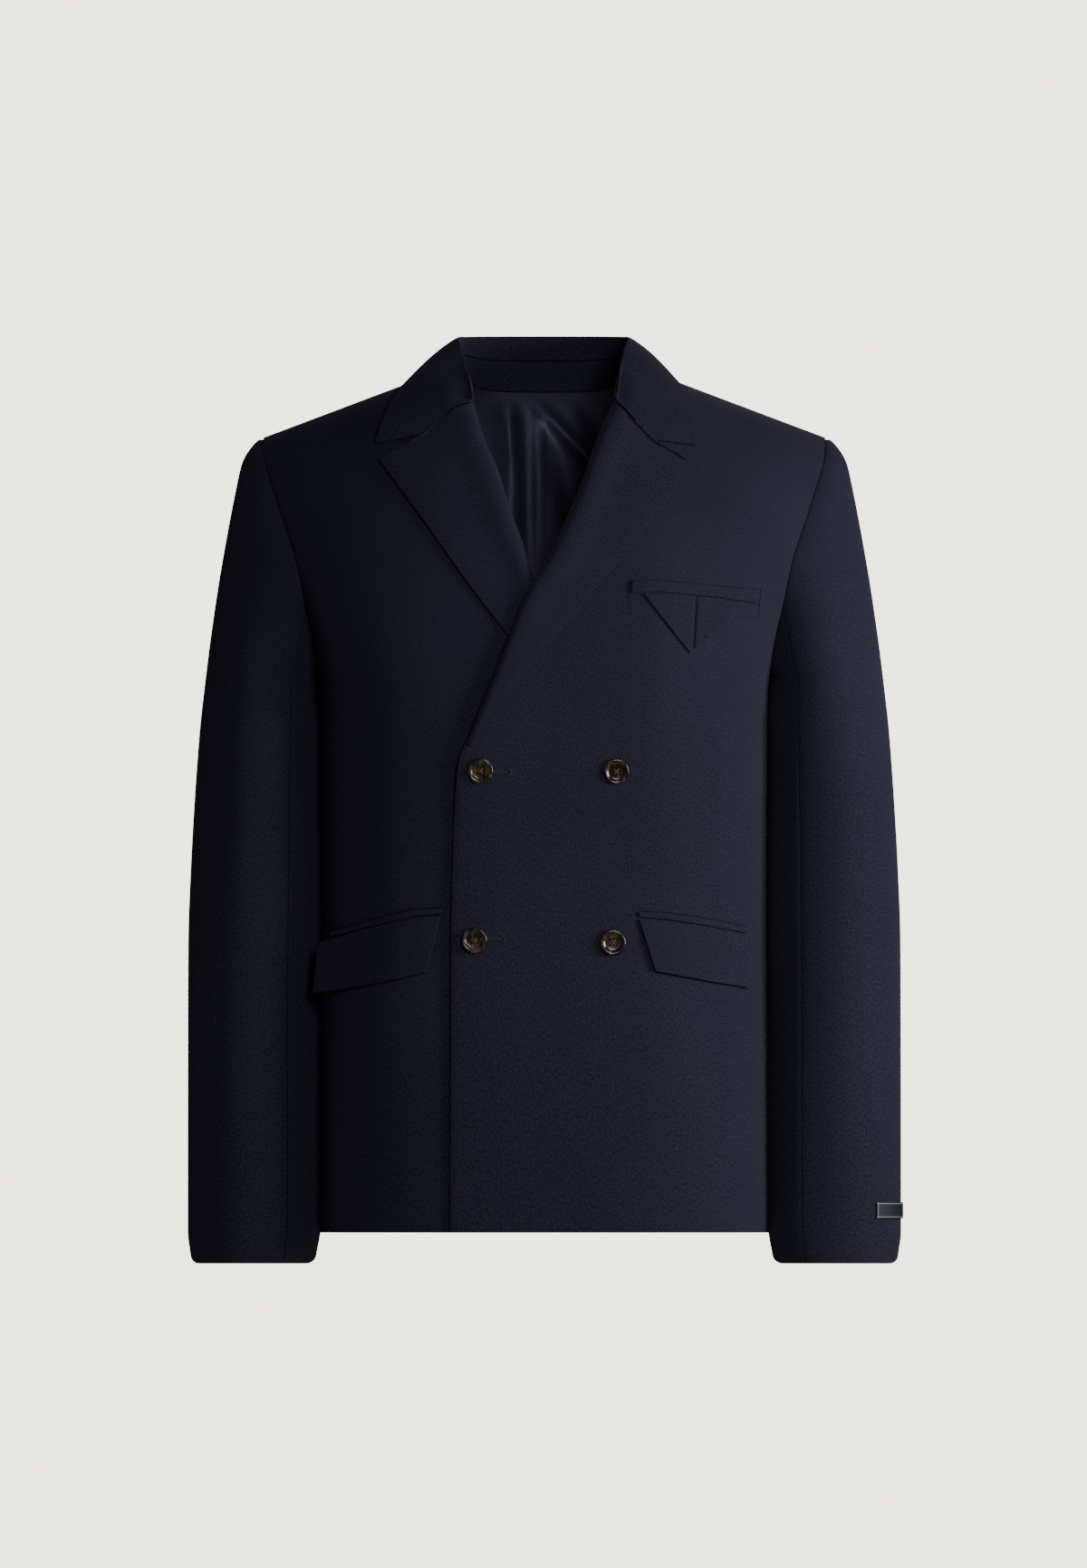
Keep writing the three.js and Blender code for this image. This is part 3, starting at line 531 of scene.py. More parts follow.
def left_off(x, z):
    return lift(x, z) + 0.5 * front_form(x, z)


def right_off(x, z):
    drag = -0.8 * bump(x + 0.16 * (z + 300), -95, 22) * smooth((-z - 330) / 60)
    return min(0.6, drag + 0.5 * front_form(-x, z)) if x < -60 else 0


cloth("front_left_cloth", 70, 110, front_point(EDGE_LEFT, 1, left_off), CLOTH, body_wool,
      "wool", ["front_left"], (0.34, 0.7))
cloth("front_right_cloth", 70, 110, front_point(EDGE_RIGHT, -1, right_off), CLOTH, body_wool,
      "wool", ["front_right"], (0.34, 0.7), turned=True)


# Back and its lining
def back_top(x):
    across = abs(x)
    return NECK_Z * (across / NECK_X) ** 5 if across < NECK_X else shoulder(x)


def back_point(u, w):
    f = spread(w)
    z_out = mix(TIP_Z, HEM_Z, f)
    x_out = side_edge(z_out)
    t = math.sin((1 - 2 * u) * math.pi / 2)
    z = mix(back_top(t * TIP_X), HEM_Z, f)
    x = t * x_out
    hollow = 1.6 * bump(x, 0, 26) * smooth((-z - 60) / 120)
    drape = 0.9 * (bump(x, 70, 16) + bump(x, -70, 16)) * smooth((-z - 420) / 120)
    y = depth(x, z, 3) + (drape - hollow) * smooth((-z - 20) / 60)
    full = 1.8 * smooth((y - 3) / 14) * smooth((70 - y) / 40) * smooth((-z - 218) / 8)
    return x + math.copysign(full, x), max(y, SEAM), z


cloth("back_cloth", 120, 110, back_point, CLOTH, body_wool, "wool", ["back"], (0.56, 0.7))

LINING_WALL = 0.6
# Folds of the satin seen in the neck. Columns: x, z, how far they run aside, reach, height
SATIN_FOLDS = [
    (-48, -34, -0.2, 13, 3.4), (-27, -30, -0.1, 7, -5.5), (-15, -64, -0.04, 8, 2.8),
    (-5.7, -70, 0.0, 1.8, -4.0), (13, -28, -0.9, 7, -5.5), (36, -12, -0.5, 12, 3),
    (22, -84, -0.3, 11, 3.4), (48, -76, -0.4, 8, -3), (-26, -116, -0.1, 6, -3),
]


def lining_point(u, w):
    t = 0.96 * math.sin((1 - 2 * u) * math.pi / 2)
    f = mix(0, 0.965, w**1.7)
    x = t * (read(ARMHOLE, mix(TIP_Z, HEM_Z, f), 1) - 6)
    top = back_top(t * TIP_X) - 4 * smooth((abs(t) - 0.3) / 0.1)
    z = mix(top + 1.2, HEM_Z, f)
    fold = 0
    for fx, fz, lean, reach, high in SATIN_FOLDS:
        middle = fx + lean * (z - fz)
        fold += high * bump(x, middle, reach) * bump(z, fz, 60)
    fold *= smooth((top - z) / 20)
    ease = 7 * smooth((top - z) / 45) * smooth((z + 300) / 150)
    return x, depth(x, z, 3, -5.6) - max(-1.0, fold + ease), z


cloth("back_lining_satin", 150, 120, lining_point, LINING_WALL, lining_satin, "satin",
      ["back_lining"], (0.52, 0.66), edge=0)


# Sleeves: an oval at every height, open toward the body above the underarm
def oval(z):
    """Middle x, half width, middle y, depth before and behind, and the angle of the cut."""
    if z <= UNDERARM_Z:
        outer, inner = read(SLEEVE, z, 1), read(SLEEVE, z, 2)
        inner -= 1.3 * smooth((-z - 236) / 24) * smooth((z + 676) / 20)
        ahead = 9 * smooth((-z - 236) / 26) * (1 - smooth((-z - 420) / 120))
        ring = ((outer + inner) / 2, (outer - inner) / 2, read(SLEEVE, z, 3) - ahead)
        return (*ring, read(SLEEVE, z, 4), read(SLEEVE, z, 5), math.pi)
    x = min(read(ARMHOLE, z, 1), read(BODY, z, 1)) + SEAM
    outer = read(CAP, z, 1)
    reach = depth(x, z, 2)
    ratio = depth(x, z, 3) / max(reach, 0.01)
    deep, cut = reach, math.pi / 2
    even = smooth((z - CAP_FREE_Z) / (UNDERARM_Z - CAP_FREE_Z))
    if z < CAP_FREE_Z:
        t = (z - CAP_FREE_Z) / (UNDERARM_Z - CAP_FREE_Z)
        begin = depth(read(ARMHOLE, CAP_FREE_Z, 1), CAP_FREE_Z, 2)
        deep = max(mix(begin, SLEEVE[0][4], t), reach)
        cut = math.pi - math.asin(min(1, reach / deep))
    half = (outer - x) / (1 + abs(math.cos(cut)))
    back = deep * mix(ratio, SLEEVE[0][5] / SLEEVE[0][4], even)
    return outer - half, half, 0, deep, back, cut


def on_oval(ring, angle, side, grow=0):
    mid, half, y, deep_front, deep_back, _ = ring
    deep = deep_front if math.sin(angle) > 0 else deep_back
    return side * (mid + (half + grow) * math.cos(angle)), y - (deep + grow) * math.sin(angle)


# Where the sleeve's two seams run, as angles from its outer side
SEAM_FRONT = 2.09
SEAM_BACK = 2.18
CUFF_Z = -686.4
SLEEVE_SEAM = 0.3


def cuff_round(angle):
    """The cuff's corners, seen from the front, turn up a little at the two sides."""
    out = max(0, (abs(math.cos(angle)) - 0.86) / 0.14)
    return 6.5 * (1 - math.sqrt(1 - min(1, out) ** 2))


def sleeve_fold(angle, z):
    """Soft folds of a sleeve, in mm outward."""
    low = smooth((-z - 230) / 80)
    fold = 0.7 * bump(angle + 0.0006 * (z + 400), 1.25, 0.35) * low
    fold -= 0.6 * bump(angle, 1.8, 0.3) * low
    fold += 0.6 * bump(angle, 0.7, 0.3) * bump(z, -440, 70)
    fold -= 0.5 * bump(angle - 0.004 * (z + 430), 1.2, 0.35) * bump(z, -430, 30)
    return fold * smooth((z - CUFF_Z) / 20)


# The turned-in allowances: where they start along a cloth, how deep they lie and run
ALLOWANCE_FROM = 60 / 64
ALLOWANCE_DEEP = 2.3
TUCK_FRONT = 4
TUCK_BACK = 7
UNDER_TURNED = 0.05
UNDER_DEEP = 2.6


def top_sleeve(side):
    """Past ALLOWANCE_FROM, and as far at the back, the cloth is its turned-in seam allowance."""
    def place(u, w):
        z = mix(-36, CUFF_Z, w**1.5)
        ring = oval(z)
        gap = SLEEVE_SEAM / min(ring[1], ring[3])
        first, last = gap - min(ring[5], SEAM_BACK), min(ring[5], SEAM_FRONT) - gap
        along = (u - 1 + ALLOWANCE_FROM) / (2 * ALLOWANCE_FROM - 1)
        angle = mix(first, last, min(1, max(0, along)))
        z += cuff_round(angle) * max(0, 1 - (z - CUFF_Z) / 40)
        grow = sleeve_fold(angle, z) + 0.8 * bump(z, -52, 14)
        turned_in = max(0, abs(u - 0.5) + 0.5 - ALLOWANCE_FROM) / (1 - ALLOWANCE_FROM)
        grow -= ALLOWANCE_DEEP * min(1, turned_in * 4)
        tuck = (TUCK_FRONT if u > 0.5 else TUCK_BACK) / max(ring[1], 12)
        tuck *= max(0, (turned_in - 0.25) / 0.75)
        angle += math.copysign(tuck, u - 0.5)
        x, y = on_oval(ring, angle, side, grow)
        return x, y, z

    return place


def armhole_at(angle):
    low, high = UNDERARM_Z, CAP_FREE_Z
    for _ in range(24):
        z = (low + high) / 2
        if oval(z)[5] > angle:
            low = z
        else:
            high = z
    return (low + high) / 2


# Where the under sleeve starts, by angle, once worked out
TOPS = {}


def under_sleeve(side):
    gap = SLEEVE_SEAM / 50

    def place(u, w):
        angle = mix(SEAM_FRONT + gap, 2 * math.pi - SEAM_BACK - gap, u)
        if angle not in TOPS:
            TOPS[angle] = armhole_at(min(angle, 2 * math.pi - angle)) - 0.6
        z = mix(TOPS[angle], CUFF_Z, max(0, (w - UNDER_TURNED) / (1 - UNDER_TURNED)) ** 1.2)
        z += cuff_round(angle) * max(0, 1 - (z - CUFF_Z) / 40)
        x, y = on_oval(oval(z), angle, side)
        turned_in = max(0, (UNDER_TURNED - w) / UNDER_TURNED)
        hidden = smooth(abs(math.sin(angle)) / 0.12)
        y += math.copysign(UNDER_DEEP * min(1, turned_in * 4) * hidden, math.sin(angle))
        go = max(0, (turned_in - 0.25) / 0.75)
        return x - side * UNDER_DEEP * go * hidden, y, z + 0.5 * turned_in + go

    return place


for side, hand in ((1, "left"), (-1, "right")):
    cloth(f"sleeve_top_{hand}_cloth", 64, 120, top_sleeve(side), CLOTH, body_wool, "wool",
          [f"sleeve_top_{hand}"], (0.24, 0.66), turned=side > 0)
    cloth(f"sleeve_under_{hand}_cloth", 24, 80, under_sleeve(side), CLOTH, body_wool, "wool",
          [f"sleeve_under_{hand}"], (0.12, 0.5), turned=side > 0)

# Lapels, rolled over from the front's edge
ACROSS = [0, 0.12, 0.27, 0.42, 0.52, 0.65, 0.82, 1]
LAPEL = 1.7


def lapel(rows, top, off):
    last = len(rows) - 1

    def place(u, w):
        x = mix(through(rows, w, 0), through(rows, w, 2), u)
        z = mix(through(rows, w, 1), through(rows, w, 3), u)
        if w * last < 1:
            k = 0
            while k < len(ACROSS) - 2 and u > ACROSS[k + 1]:
                k += 1
            f = (u - ACROSS[k]) / (ACROSS[k + 1] - ACROSS[k])
            x = mix(mix(top[k][0], top[k + 1][0], f), x, w * last)
            z = mix(mix(top[k][1], top[k + 1][1], f), z, w * last)
        wide = math.dist((through(rows, w, 0), through(rows, w, 1)),
                         (through(rows, w, 2), through(rows, w, 3)))
        along = u * wide
        roll = math.sqrt(1 - (1 - min(1, along / 6)) ** 2)
        belly = 2.4 * bump(along, 11, 12) * smooth((wide - 20) / 40)
        edge = 0.5 * bump(wide - along, 0, 5)
        out = off(x, z) + 0.2 + (LAY + LAPEL + 0.4) * roll + belly * roll - edge
        return front(x, z, out)

    return place


cloth("lapel_left_cloth", 40, 110, lapel(LAPEL_LEFT, TOP_LEFT, lift), LAPEL, body_wool, "wool",
      ["lapel_left"], (0.085, 0.3), edge=0.6)
cloth("lapel_right_cloth", 40, 110, lapel(LAPEL_RIGHT, TOP_RIGHT, lambda x, z: 0), LAPEL,
      body_wool, "wool", ["lapel_right"], (0.085, 0.3), turned=True, edge=0.6)

# Collar. Columns: neck seam x, y, z; roll line x, y, z; outer edge x, y, z; fold
COLLAR = [
    (-60.5, -58, 0, -57, -65.5, -4.6, -133.7, -69.8, -37.5, 0.15),
    (-66.5, -44.5, 9, -59, -49, 9, -130.5, -61.1, -26, 0.35),
    (-72, -26, 17, -61.5, -31, 22, -125.5, -50.9, -14.3, 0.65),
    (-75, -8, 21.6, -64.5, -13, 36, -118, -33, -0.4, 1),
    (-74.8, 8, 21.6, -66.5, 4, 43.5, -110, -14, 9.5, 1),
    (-71, 26, 17, -65.5, 21, 45, -101, 10, 14, 1),
    (-64, 43, 10.6, -59, 40, 45, -87, 38, 8.5, 1),
    (-42, 58.5, 2.2, -40, 56, 45, -58, 63, -1.5, 1),
    (0, 62, 0.8, 0, 62, 45, 0, 76, -9, 1),
    (42, 58.5, 2.2, 40, 56, 45, 58, 63, -1.5, 1),
    (64, 43, 10.6, 58, 40, 45, 85, 38, 9.5, 1),
    (71, 26, 17, 64.5, 21, 45, 97.5, 10, 15.2, 1),
    (74.8, 8, 21.6, 65, 4, 43.5, 104.5, -13, 11.5, 1),
    (75, -8, 21.6, 62, -13, 36, 111, -30, 2, 1),
    (72, -26, 17, 58.8, -31, 22, 116, -54.2, -13, 0.65),
    (66.5, -44.5, 9, 57.5, -49, 9, 119.5, -66.7, -27, 0.35),
    (60.5, -58, 0, 56.4, -65.5, -4.6, 121.5, -76.1, -39.7, 0.15),
]
COLLAR_WALL = 1.7
COLLAR_OFF = LAY + 2.4 + 0.6
STAND_TOP = 0.56
COLLAR_ACROSS = [0.24, 0.42, 0.6, 0.8, 1]
# Columns: x, z
GORGE_RIGHT = [
    (-60, -5.7), (-74, -11.3), (-85, -22), (-95.8, -31.3), (-113, -34.3),
    (-133.7, -37.5),
]
# Columns: x, z
GORGE_LEFT = [
    (59, -8.2), (67, -16), (77, -26.8), (86.4, -36.1), (103, -38),
    (121.5, -39.7),
]
END_REACH = 0.14


def collar_at(t, first):
    return Vector([through(COLLAR, t, first + k) for k in range(3)])


def clear_of_body(p, off):
    if p.z > shoulder(p.x) + off:
        return p
    away = depth(p.x, p.z, 3 if p.y > 0 else 2, off)
    if abs(p.y) < away:
        p.y = away if p.y > 0 else -away
    return p


def collar_column(t):
    """The points across the collar at one place along it, from stand seam to outer edge."""
    neck, roll, edge = (collar_at(t, k) for k in (0, 3, 6))
    fold = min(1, through(COLLAR, t, 9))
    out = Vector((edge.x - roll.x, edge.y - roll.y, 0)).normalized()
    seam = neck.lerp(roll, STAND_TOP).lerp(roll, 1 - 0.96 * fold)
    row = [seam, seam.lerp(roll, 0.6), roll + out * 0.8 * fold]
    row.append(roll + out * 5 * fold + Vector((0, 0, -1.4 * fold)))
    gorge = GORGE_RIGHT if t < 0.5 else GORGE_LEFT
    near = max(0, 1 - min(t, 1 - t) / END_REACH)
    for k, v in enumerate(COLLAR_ACROSS):
        p = row[3].lerp(edge, v)
        p.x += near * (gorge[k + 1][0] - mix(gorge[0][0], gorge[5][0], v))
        p.z += near * (gorge[k + 1][1] - mix(gorge[0][1], gorge[5][1], v))
        p.z += 10 * v * (1 - v) * fold
        if near > 0.4:
            p.y = min(p.y, -depth(p.x, p.z, 2, COLLAR_OFF))
        row.append(clear_of_body(p, COLLAR_OFF))
    return row


# The collar's columns, once worked out
COLUMNS = {}


def collar_point(u, w):
    if w not in COLUMNS:
        COLUMNS[w] = collar_column(w)
    row = COLUMNS[w]
    at = u * (len(row) - 1)
    i = min(int(at), len(row) - 2)
    f = at - i
    a, b = row[i], row[i + 1]
    before = row[i - 1] if i > 0 else 2 * a - b
    after = row[i + 2] if i + 2 < len(row) else 2 * b - a
    return 0.5 * (
        2 * a + (b - before) * f + (2 * before - 5 * a + 4 * b - after) * f * f
        + (3 * a - before - 3 * b + after) * f * f * f
    )


cloth("collar_fall_cloth", 48, 190, collar_point, COLLAR_WALL, body_wool, "wool",
      ["collar_fall"], (0.085, 0.46), edge=0.5)


def stand_point(u, w):
    t = mix(0.2, 0.8, w)
    low, roll = collar_at(t, 0), collar_at(t, 3)
    return low.lerp(low.lerp(roll, STAND_TOP), u)


cloth("collar_stand_cloth", 10, 120, stand_point, COLLAR_WALL, body_wool, "wool",
      ["collar_stand"], (0.035, 0.24), edge=0.3)

# Pockets
FREE_X = 150
FREE_SLOPE = 0.92
POCKET = 1.0


def between(upper, lower, put, cushion=0.0, curl=0.0):
    """A strip between two lines of corners. Its lower edge curls away from the cloth beneath."""
    def place(u, w):
        a, b = straight(upper, u), straight(lower, u)
        p = put(mix(a[0], b[0], w), mix(a[1], b[1], w))
        p.y -= cushion * 4 * w * (1 - w) + curl * w * w
        return p

    return place


def proud(off, base=lambda x, z: 0):
    """Past FREE_X a flap goes on straight and stands off the side of the body."""
    def put(x, z):
        over = max(0, abs(x) - FREE_X)
        p = front(math.copysign(min(abs(x), FREE_X), x), z, base(x, z) + off)
        return Vector((x, p.y + FREE_SLOPE * over, z))

    return put


def laid(off):
    return lambda x, z: front(x, z, lift(x, z) + off)


cloth("pocket_jet_right_cloth", 50, 6, between(JET_UP_RIGHT, JET_LOW_RIGHT, proud(1.5), 0.5),
      POCKET, body_wool, "wool", ["pocket_jet_right"], (0.095, 0.006), edge=0.3)
cloth("pocket_flap_right_cloth", 60, 24,
      between(FLAP_UP_RIGHT, FLAP_LOW_RIGHT, proud(2.1), 0.9, 1.6),
      POCKET, body_wool, "wool", ["pocket_flap_right"], (0.11, 0.05), edge=0.4)
cloth("pocket_jet_left_cloth", 50, 6, between(JET_UP_LEFT, JET_LOW_LEFT, proud(1.5, lift), 0.5),
      POCKET, body_wool, "wool", ["pocket_jet_left"], (0.095, 0.006), edge=0.3)
cloth("pocket_flap_left_cloth", 60, 24,
      between(FLAP_UP_LEFT, FLAP_LOW_LEFT, proud(1.9, lift), 0.9, 1.6),
      POCKET, body_wool, "wool", ["pocket_flap_left"], (0.095, 0.05), edge=0.4)
cloth("chest_welt_cloth", 60, 8, between(WELT_UP, WELT_LOW, laid(1.9), 0.5), POCKET, body_wool,
      "wool", ["chest_welt"], (0.115, 0.012), edge=0.35)


def chest_flap_point(u, w):
    """Two folded halves meet in a slit from the welt to the tip."""
    a, b = straight(POINT_UP, u), straight(POINT_LOW, u)
    x, z = mix(a[0], b[0], w), mix(a[1], b[1], w)
    middle = mix(119.6, 117.3, (-z - 158) / 46)
    slit = 1.0 * bump(x, middle, 1.1)
    return laid(1.9 + 0.5 * smooth((x - middle) / 3) - slit)(x, z)


cloth("chest_flap_cloth", 70, 40, chest_flap_point, POCKET, body_wool, "wool", ["chest_flap"],
      (0.085, 0.046), edge=0.35)


# Thread: a small cylinder for each stitch of a line, joined to one piece
def stitches(name, line, size, material, slot="wool"):
    """line holds (place, direction) in mm; size is (long, thick) in mm."""
    made = []
    for place, way in line:
        bare()
        bpy.ops.mesh.primitive_cylinder_add(vertices=6, radius=size[1] / 2 * MM,
                                            depth=size[0] * MM)
        stitch = bpy.context.object
        turn = way.to_track_quat("Z", "Y")
        for vertex in stitch.data.vertices:
            vertex.co = turn @ vertex.co + place * MM
        made.append(stitch)
    bare()
    for stitch in made:
        stitch.select_set(True)
    bpy.context.view_layer.objects.active = made[0]
    bpy.ops.object.join()
    bpy.ops.object.shade_smooth()
    finish_piece(bpy.context.object, name, material, slot)


def stand_stitch_line():
    """Small slanting stitches that fell the collar to its stand, inside the neck."""
    line = []
    count = 76
    for k in range(count):
        t = mix(0.3, 0.7, k / (count - 1))
        low, roll = collar_at(t, 0), collar_at(t, 3)
        here = low.lerp(roll, STAND_TOP + 0.03)
        beyond = min(1, t + 0.01)
        ahead = collar_at(beyond, 0).lerp(collar_at(beyond, 3), STAND_TOP + 0.03)
        way = (ahead - here).normalized()
        up = (roll - low).normalized()
        inward = way.cross(up).normalized()
        if inward.y > 0 and abs(here.x) < 40:
            inward = -inward
        slant = 0.7 if k % 2 else -0.7
        line.append((here + inward * 0.25, (way + up * slant).normalized()))
    return line


stitches("collar_felling_stitches", stand_stitch_line(), (1.9, 0.32), sewing_thread)


def neck_seam_line():
    """Stitches along the neck edge of the lining; their dark thread paints the shade under the
    collar stand.
    """
    feet = [Vector(lining_point(mix(0.39, 0.61, k / 60), 0)) + Vector((0, -0.6, 0.3))
            for k in range(61)]
    return [(a.lerp(c, 0.5), (c - a).normalized()) for a, c in zip(feet, feet[1:])]


# Painted shade: a dark thread line along the lining's neck seam stands in for the shadow below
# the collar stand
stitches("neck_seam_stitches_painted_shade", neck_seam_line(), (2.4, 0.8), seam_shade_thread)


def row_of_stitches(corners, off, pitch=1.9, put=laid):
    """Stitches along a line of corners on one of the fronts, the left one unless put says so."""
    line = []
    for (x0, z0), (x1, z1) in zip(corners, corners[1:]):
        count = max(2, round(math.dist((x0, z0), (x1, z1)) / pitch))
        for k in range(count):
            a, b = (put(off)(mix(x0, x1, f), mix(z0, z1, f))
                    for f in (k / count, (k + 1) / count))
            line.append((a.lerp(b, 0.5), (b - a).normalized()))
    return line


# Stitched ends of the chest pocket in the darkened thread: real stitches, with painted shade in
# their colour
stitches("chest_pocket_stitches_shaded",
         row_of_stitches([(66.4, -165.2), (67.6, -146.6)], 0.25)
         + row_of_stitches([(171, -153.6), (169, -176), (149.5, -176.4)], 0.25),
         (1.5, 0.34), seam_shade_thread)
# Painted shadow: a dark thread line along the welt's top edge stands in for the shade of the
# groove above it, where a seam also runs
stitches("chest_welt_stitches_painted_shade", row_of_stitches(WELT_UP, 0.35),
         (1.6, 0.4), seam_shade_thread)

# Painted shadow: dark thread lines along the tops of the pocket jets stand in for the shade of
# the groove there, where a seam also runs
stitches("pocket_stitches_left_painted_shade", row_of_stitches([(x, z + 0.7) for x, z in JET_UP_LEFT], 0.35),
         (1.7, 0.36), seam_shade_thread)
stitches("pocket_stitches_right_painted_shade",
         row_of_stitches([(x, z + 0.7) for x, z in JET_UP_RIGHT], 0.35, put=proud),
         (1.7, 0.36), seam_shade_thread)

# Buttons
HOLE_OUT = 2.0
# Columns: CAD node, x, z, how far its back lies off the front
BUTTONS = [
    ("button_left_edge_upper", -50.5, -297.2, -0.9),
    ("button_left_edge_lower", -55.2, -431.1, 0.3),
    ("button_chest_upper", 56.6, -297.7, -0.9),
    ("button_chest_lower", 54.1, -432.9, 0.3),
]
# Columns: radius, how far in front of the back
BUTTON_PROFILE = [
    (0.5, 0.0), (6.5, 0.0), (9.2, 0.8), (10.0, 1.7), (10.2, 2.4), (9.9, 3.2), (9.2, 3.6),
    (8.4, 3.55), (7.6, 3.2), (6.8, 2.6), (6.1, 2.2), (5.4, 2.1), (0.5, 2.1),
]


def seat(x, z, off):
    """Where a button sits, and which way it faces."""
    here = laid(off)(x, z)
    beside = laid(off)(x + 8, z)
    below = laid(off)(x, z - 8)
    outward = (beside - here).cross(here - below).normalized()
    return here, outward


def make_button(node, x, z, off):
    bare()
    bpy.ops.mesh.primitive_circle_add(vertices=len(BUTTON_PROFILE), fill_type="NOTHING",
                                      radius=0.01)
    disc = bpy.context.object
    for vertex, (r, y) in zip(disc.data.vertices, BUTTON_PROFILE):
        vertex.co = Vector((r, -y, 0)) * MM
    bpy.ops.object.mode_set(mode="EDIT")
    bpy.ops.mesh.select_all(action="SELECT")
    bpy.ops.mesh.spin(steps=56, angle=math.radians(360), center=(0, 0, 0), axis=(0, 1, 0))
    bpy.ops.mesh.select_all(action="SELECT")
    bpy.ops.mesh.remove_doubles(threshold=0.00001)
    bpy.ops.mesh.normals_make_consistent(inside=False)
    bpy.ops.object.mode_set(mode="OBJECT")
    bare()
    bpy.ops.mesh.primitive_cylinder_add(vertices=32, radius=0.9 * MM, depth=1.7 * MM,
                                        location=(0, -1.15 * MM, 0), rotation=(math.pi / 2, 0, 0))
    core = bpy.context.object
    bpy.ops.object.transform_apply(location=True, rotation=True, scale=True)
    drills = []
    for sx, sz in ((1, 1), (1, -1), (-1, 1), (-1, -1)):
        bare()
        bpy.ops.mesh.primitive_cylinder_add(
            vertices=20, radius=1.0 * MM, depth=8 * MM, rotation=(math.pi / 2, 0, 0),
            location=(sx * HOLE_OUT * MM, -2 * MM, sz * HOLE_OUT * MM))
        bpy.ops.object.transform_apply(location=True, rotation=True, scale=True)
        drills.append(bpy.context.object)
    apply(disc, "BOOLEAN", operation="UNION", object=core, solver="EXACT")
    bpy.data.objects.remove(core)
    for drill in drills:
        apply(disc, "BOOLEAN", operation="DIFFERENCE", object=drill, solver="EXACT")
        bpy.data.objects.remove(drill)
    here, outward = seat(x, z, off)
    turn = Vector((0, -1, 0)).rotation_difference(outward)
    for vertex in disc.data.vertices:
        vertex.co = turn @ vertex.co + here * MM
    bare()
    disc.select_set(True)
    bpy.context.view_layer.objects.active = disc
    bpy.ops.object.shade_smooth_by_angle(angle=math.radians(40))
    finish_piece(disc, node + "_horn", button_horn, "horn", node)
    line = []
    for k in (-1, 1):
        for lane in (-0.35, 0.0, 0.35):
            way = Vector((1, 0, k)).normalized()
            aside = Vector((-way.z, 0, way.x)) * lane
            spot = turn @ (Vector((0, -2.45 - 0.12 * k, 0)) + aside)
            line.append((here + spot, turn @ way))
    stitches(node + "_thread", line, (5.8, 0.42), button_thread, "horn")


for row in BUTTONS:
    make_button(*row)


# Keyhole buttonholes beside the two buttons of the left edge
def buttonhole(name, x_from, x_to, z):
    line = []
    count = 26
    eye = 2.0
    slit = 0.72
    for k in range(count):
        f = k / (count - 1)
        for half in (1, -1):
            if f < slit:
                x, dz = mix(x_from, x_to - 2 * eye, f / slit), 0.75 * half
                way = Vector((0.15, 0, 1))
            else:
                turn = math.pi * (f - slit) / (1 - slit)
                x = x_to - eye - eye * math.cos(turn)
                dz = max(0.5, eye * math.sin(turn)) * half
                way = Vector((-math.cos(turn), 0, math.sin(turn) * half + 0.01))
            line.append((laid(0.35)(x, z + dz), way.normalized()))
    stitches(name, line, (1.5, 0.6), hole_thread)


buttonhole("buttonhole_upper", -41, -26.6, -298.6)
buttonhole("buttonhole_lower", -46, -31.4, -430)

# Bare woven label round the outer edge of the left cuff
LABEL_TOP = -637.8
LABEL_LOW = -650.7
LABEL_WALL = 0.7
LABEL_SIZE = (0.07, 0.0129)
LABEL_BORDER = 0.0012
LABEL_LINE = 0.0003


def label_material():
    """Navy ground with a pale woven line all round, read from the label's own UV map."""
    material = bpy.data.materials.new("woven label")
    tree, surface = nodes_of(material)
    uv = add_node(tree, "ShaderNodeTexCoord")
    split = add_node(tree, "ShaderNodeSeparateXYZ")
    link(tree, uv.outputs["UV"], split.inputs["Vector"])
    pales = []
    for axis, length in (("X", LABEL_SIZE[0]), ("Y", LABEL_SIZE[1])):
        for middle in (LABEL_BORDER, length - LABEL_BORDER):
            near = add_node(tree, "ShaderNodeMath", operation="COMPARE")
            link(tree, split.outputs[axis], near.inputs[0])
            near.inputs[1].default_value = middle
            near.inputs[2].default_value = LABEL_LINE
            pales.append(near)
    total = pales[0]
    for other in pales[1:]:
        joined = add_node(tree, "ShaderNodeMath", operation="MAXIMUM")
        link(tree, total.outputs["Value"], joined.inputs[0])
        link(tree, other.outputs["Value"], joined.inputs[1])
        total = joined
    paint = add_node(tree, "ShaderNodeMix", data_type="RGBA")
    paint.inputs["A"].default_value = (0.012, 0.013, 0.03, 1)
    paint.inputs["B"].default_value = (0.34, 0.34, 0.36, 1)
    link(tree, total.outputs["Value"], paint.inputs["Factor"])
    link(tree, paint.outputs["Result"], surface.inputs["Base Color"])
    weave = add_node(tree, "ShaderNodeTexNoise", Scale=1500.0)
    link(tree, uv.outputs["UV"], weave.inputs["Vector"])
    grain = add_node(tree, "ShaderNodeBump", Strength=0.3, Distance=0.0002)
    link(tree, weave.outputs["Fac"], grain.inputs["Height"])
    link(tree, grain.outputs["Normal"], surface.inputs["Normal"])
    surface.inputs["Roughness"].default_value = 0.6
    return material


def label_point(u, w):
    z = mix(LABEL_TOP, LABEL_LOW, w)
    x, y = on_oval(oval(z), mix(-0.42, 0.9, 1 - u), 1, 1.7)
    return x, y, z


cloth("sleeve_label_woven", 40, 8, label_point, LABEL_WALL, label_material(), "label",
      ["sleeve_label"], LABEL_SIZE, edge=0)

# Camera, floor and light
BACKDROP = (0.82, 0.8, 0.69, 1)
BACKDROP_STRENGTH = 4.3
AMBIENT = (0.9, 0.93, 1.0, 1)
AMBIENT_STRENGTH = 0.06
LIGHT_SIZE = 0.8
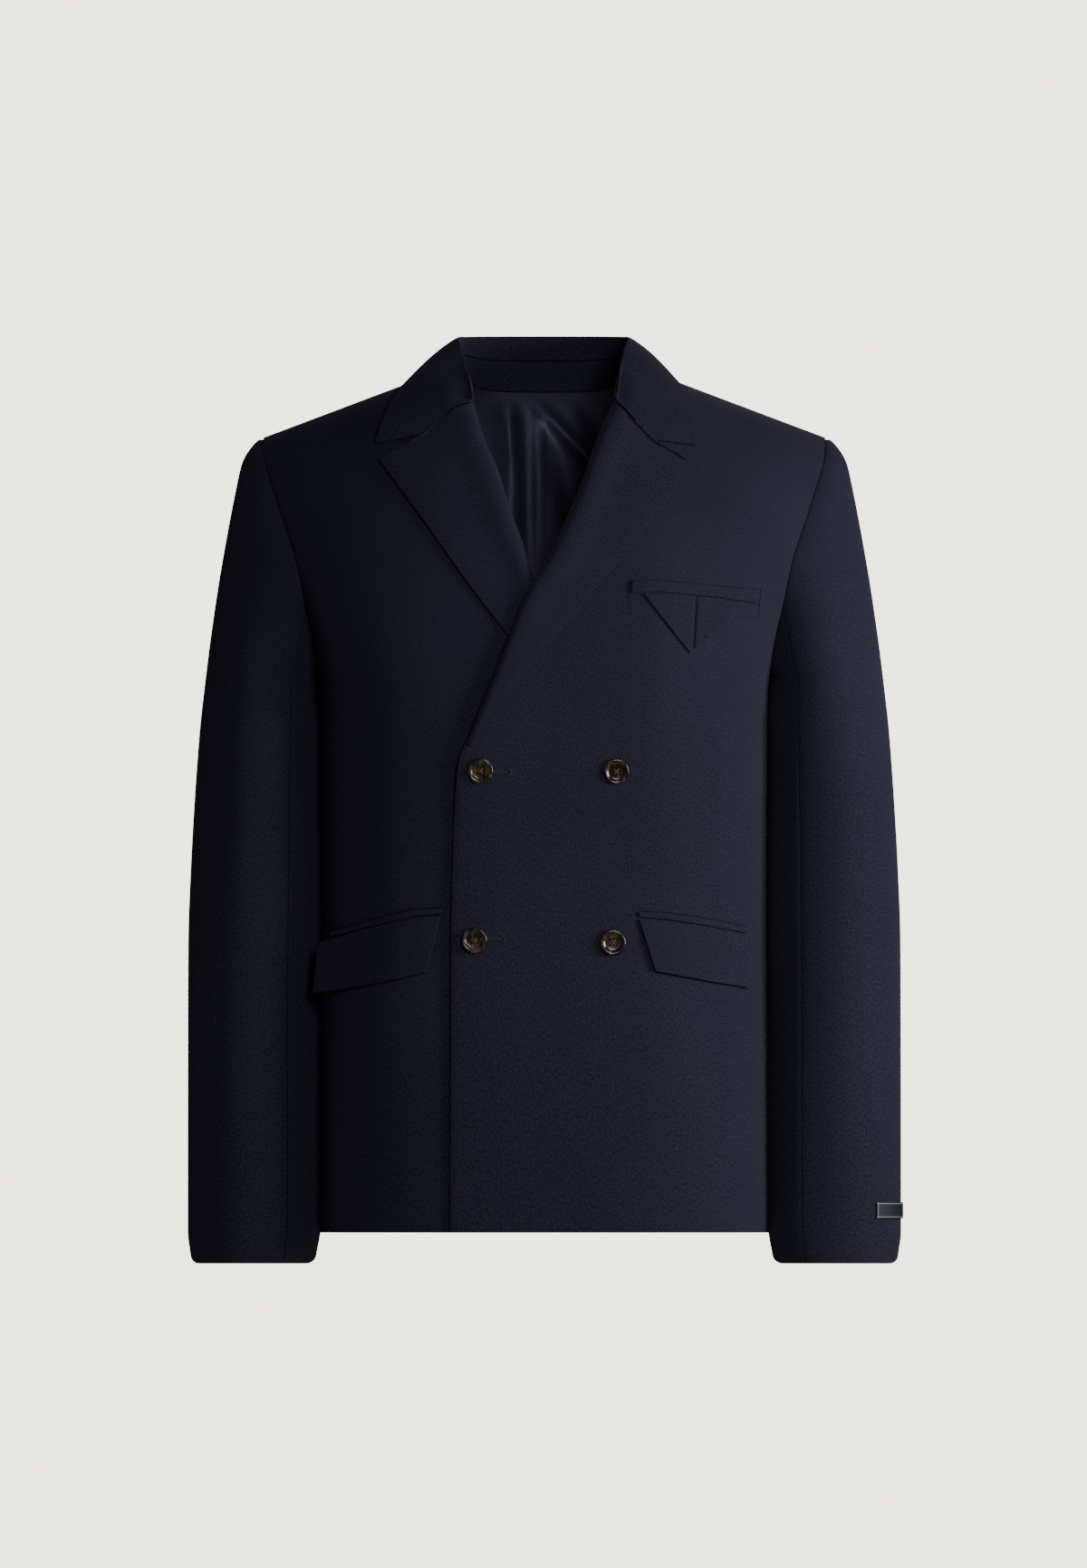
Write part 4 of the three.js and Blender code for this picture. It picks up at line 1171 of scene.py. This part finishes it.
# Columns: name, place, aim, power, spread in degrees
LIGHTS = [
    ("key from the right", (1.58, -0.75, -0.15), (0.1, -0.05, -0.34), 5.0, 90),
    ("front fill", (0.6, -2.55, 0.45), (0, 0, -0.2), 7.0, 120),
    ("back fill", (0.2, 2.6, 0.1), (0, 0, -0.3), 10, 120),
]

camera_data = bpy.data.cameras.new("camera")
camera_data.type = "ORTHO"
camera_data.ortho_scale = PHOTO_HEIGHT * PIXEL * MM
camera_data.clip_end = 50
camera = bpy.data.objects.new("camera", camera_data)
bpy.context.scene.collection.objects.link(camera)
camera.location = (CENTRE_X * MM, -CAMERA_AWAY, CENTRE_Z * MM)
camera.rotation_euler = (math.pi / 2, 0, 0)
bpy.context.scene.camera = camera

bare()
bpy.ops.mesh.primitive_plane_add(size=14, location=(0, 2, -1.45))
floor = bpy.context.object
floor.name = "studio_floor"
bpy.ops.object.transform_apply(location=True)
floor.data.materials.append(plain("pale studio floor", (0.72, 0.715, 0.7), 0.8, 0.2))

world = bpy.data.worlds.new("studio")
bpy.context.scene.world = world
world.use_nodes = True
sky = world.node_tree
backdrop = sky.nodes["Background"]
backdrop.inputs["Color"].default_value = BACKDROP
backdrop.inputs["Strength"].default_value = BACKDROP_STRENGTH
ambient = sky.nodes.new("ShaderNodeBackground")
ambient.inputs["Color"].default_value = AMBIENT
ambient.inputs["Strength"].default_value = AMBIENT_STRENGTH
rays = sky.nodes.new("ShaderNodeLightPath")
choose = sky.nodes.new("ShaderNodeMixShader")
sky.links.new(rays.outputs["Is Camera Ray"], choose.inputs["Fac"])
sky.links.new(ambient.outputs["Background"], choose.inputs[1])
sky.links.new(backdrop.outputs["Background"], choose.inputs[2])
sky.links.new(choose.outputs["Shader"], sky.nodes["World Output"].inputs["Surface"])


def soft_light(name, place, aim, power, angle):
    data = bpy.data.lights.new(name, "AREA")
    data.shape = "SQUARE"
    data.size = LIGHT_SIZE
    data.energy = power
    data.spread = math.radians(angle)
    lamp = bpy.data.objects.new(name, data)
    bpy.context.scene.collection.objects.link(lamp)
    lamp.location = place
    lamp.rotation_euler = (Vector(aim) - Vector(place)).to_track_quat("-Z", "Y").to_euler()


for row in LIGHTS:
    soft_light(*row)
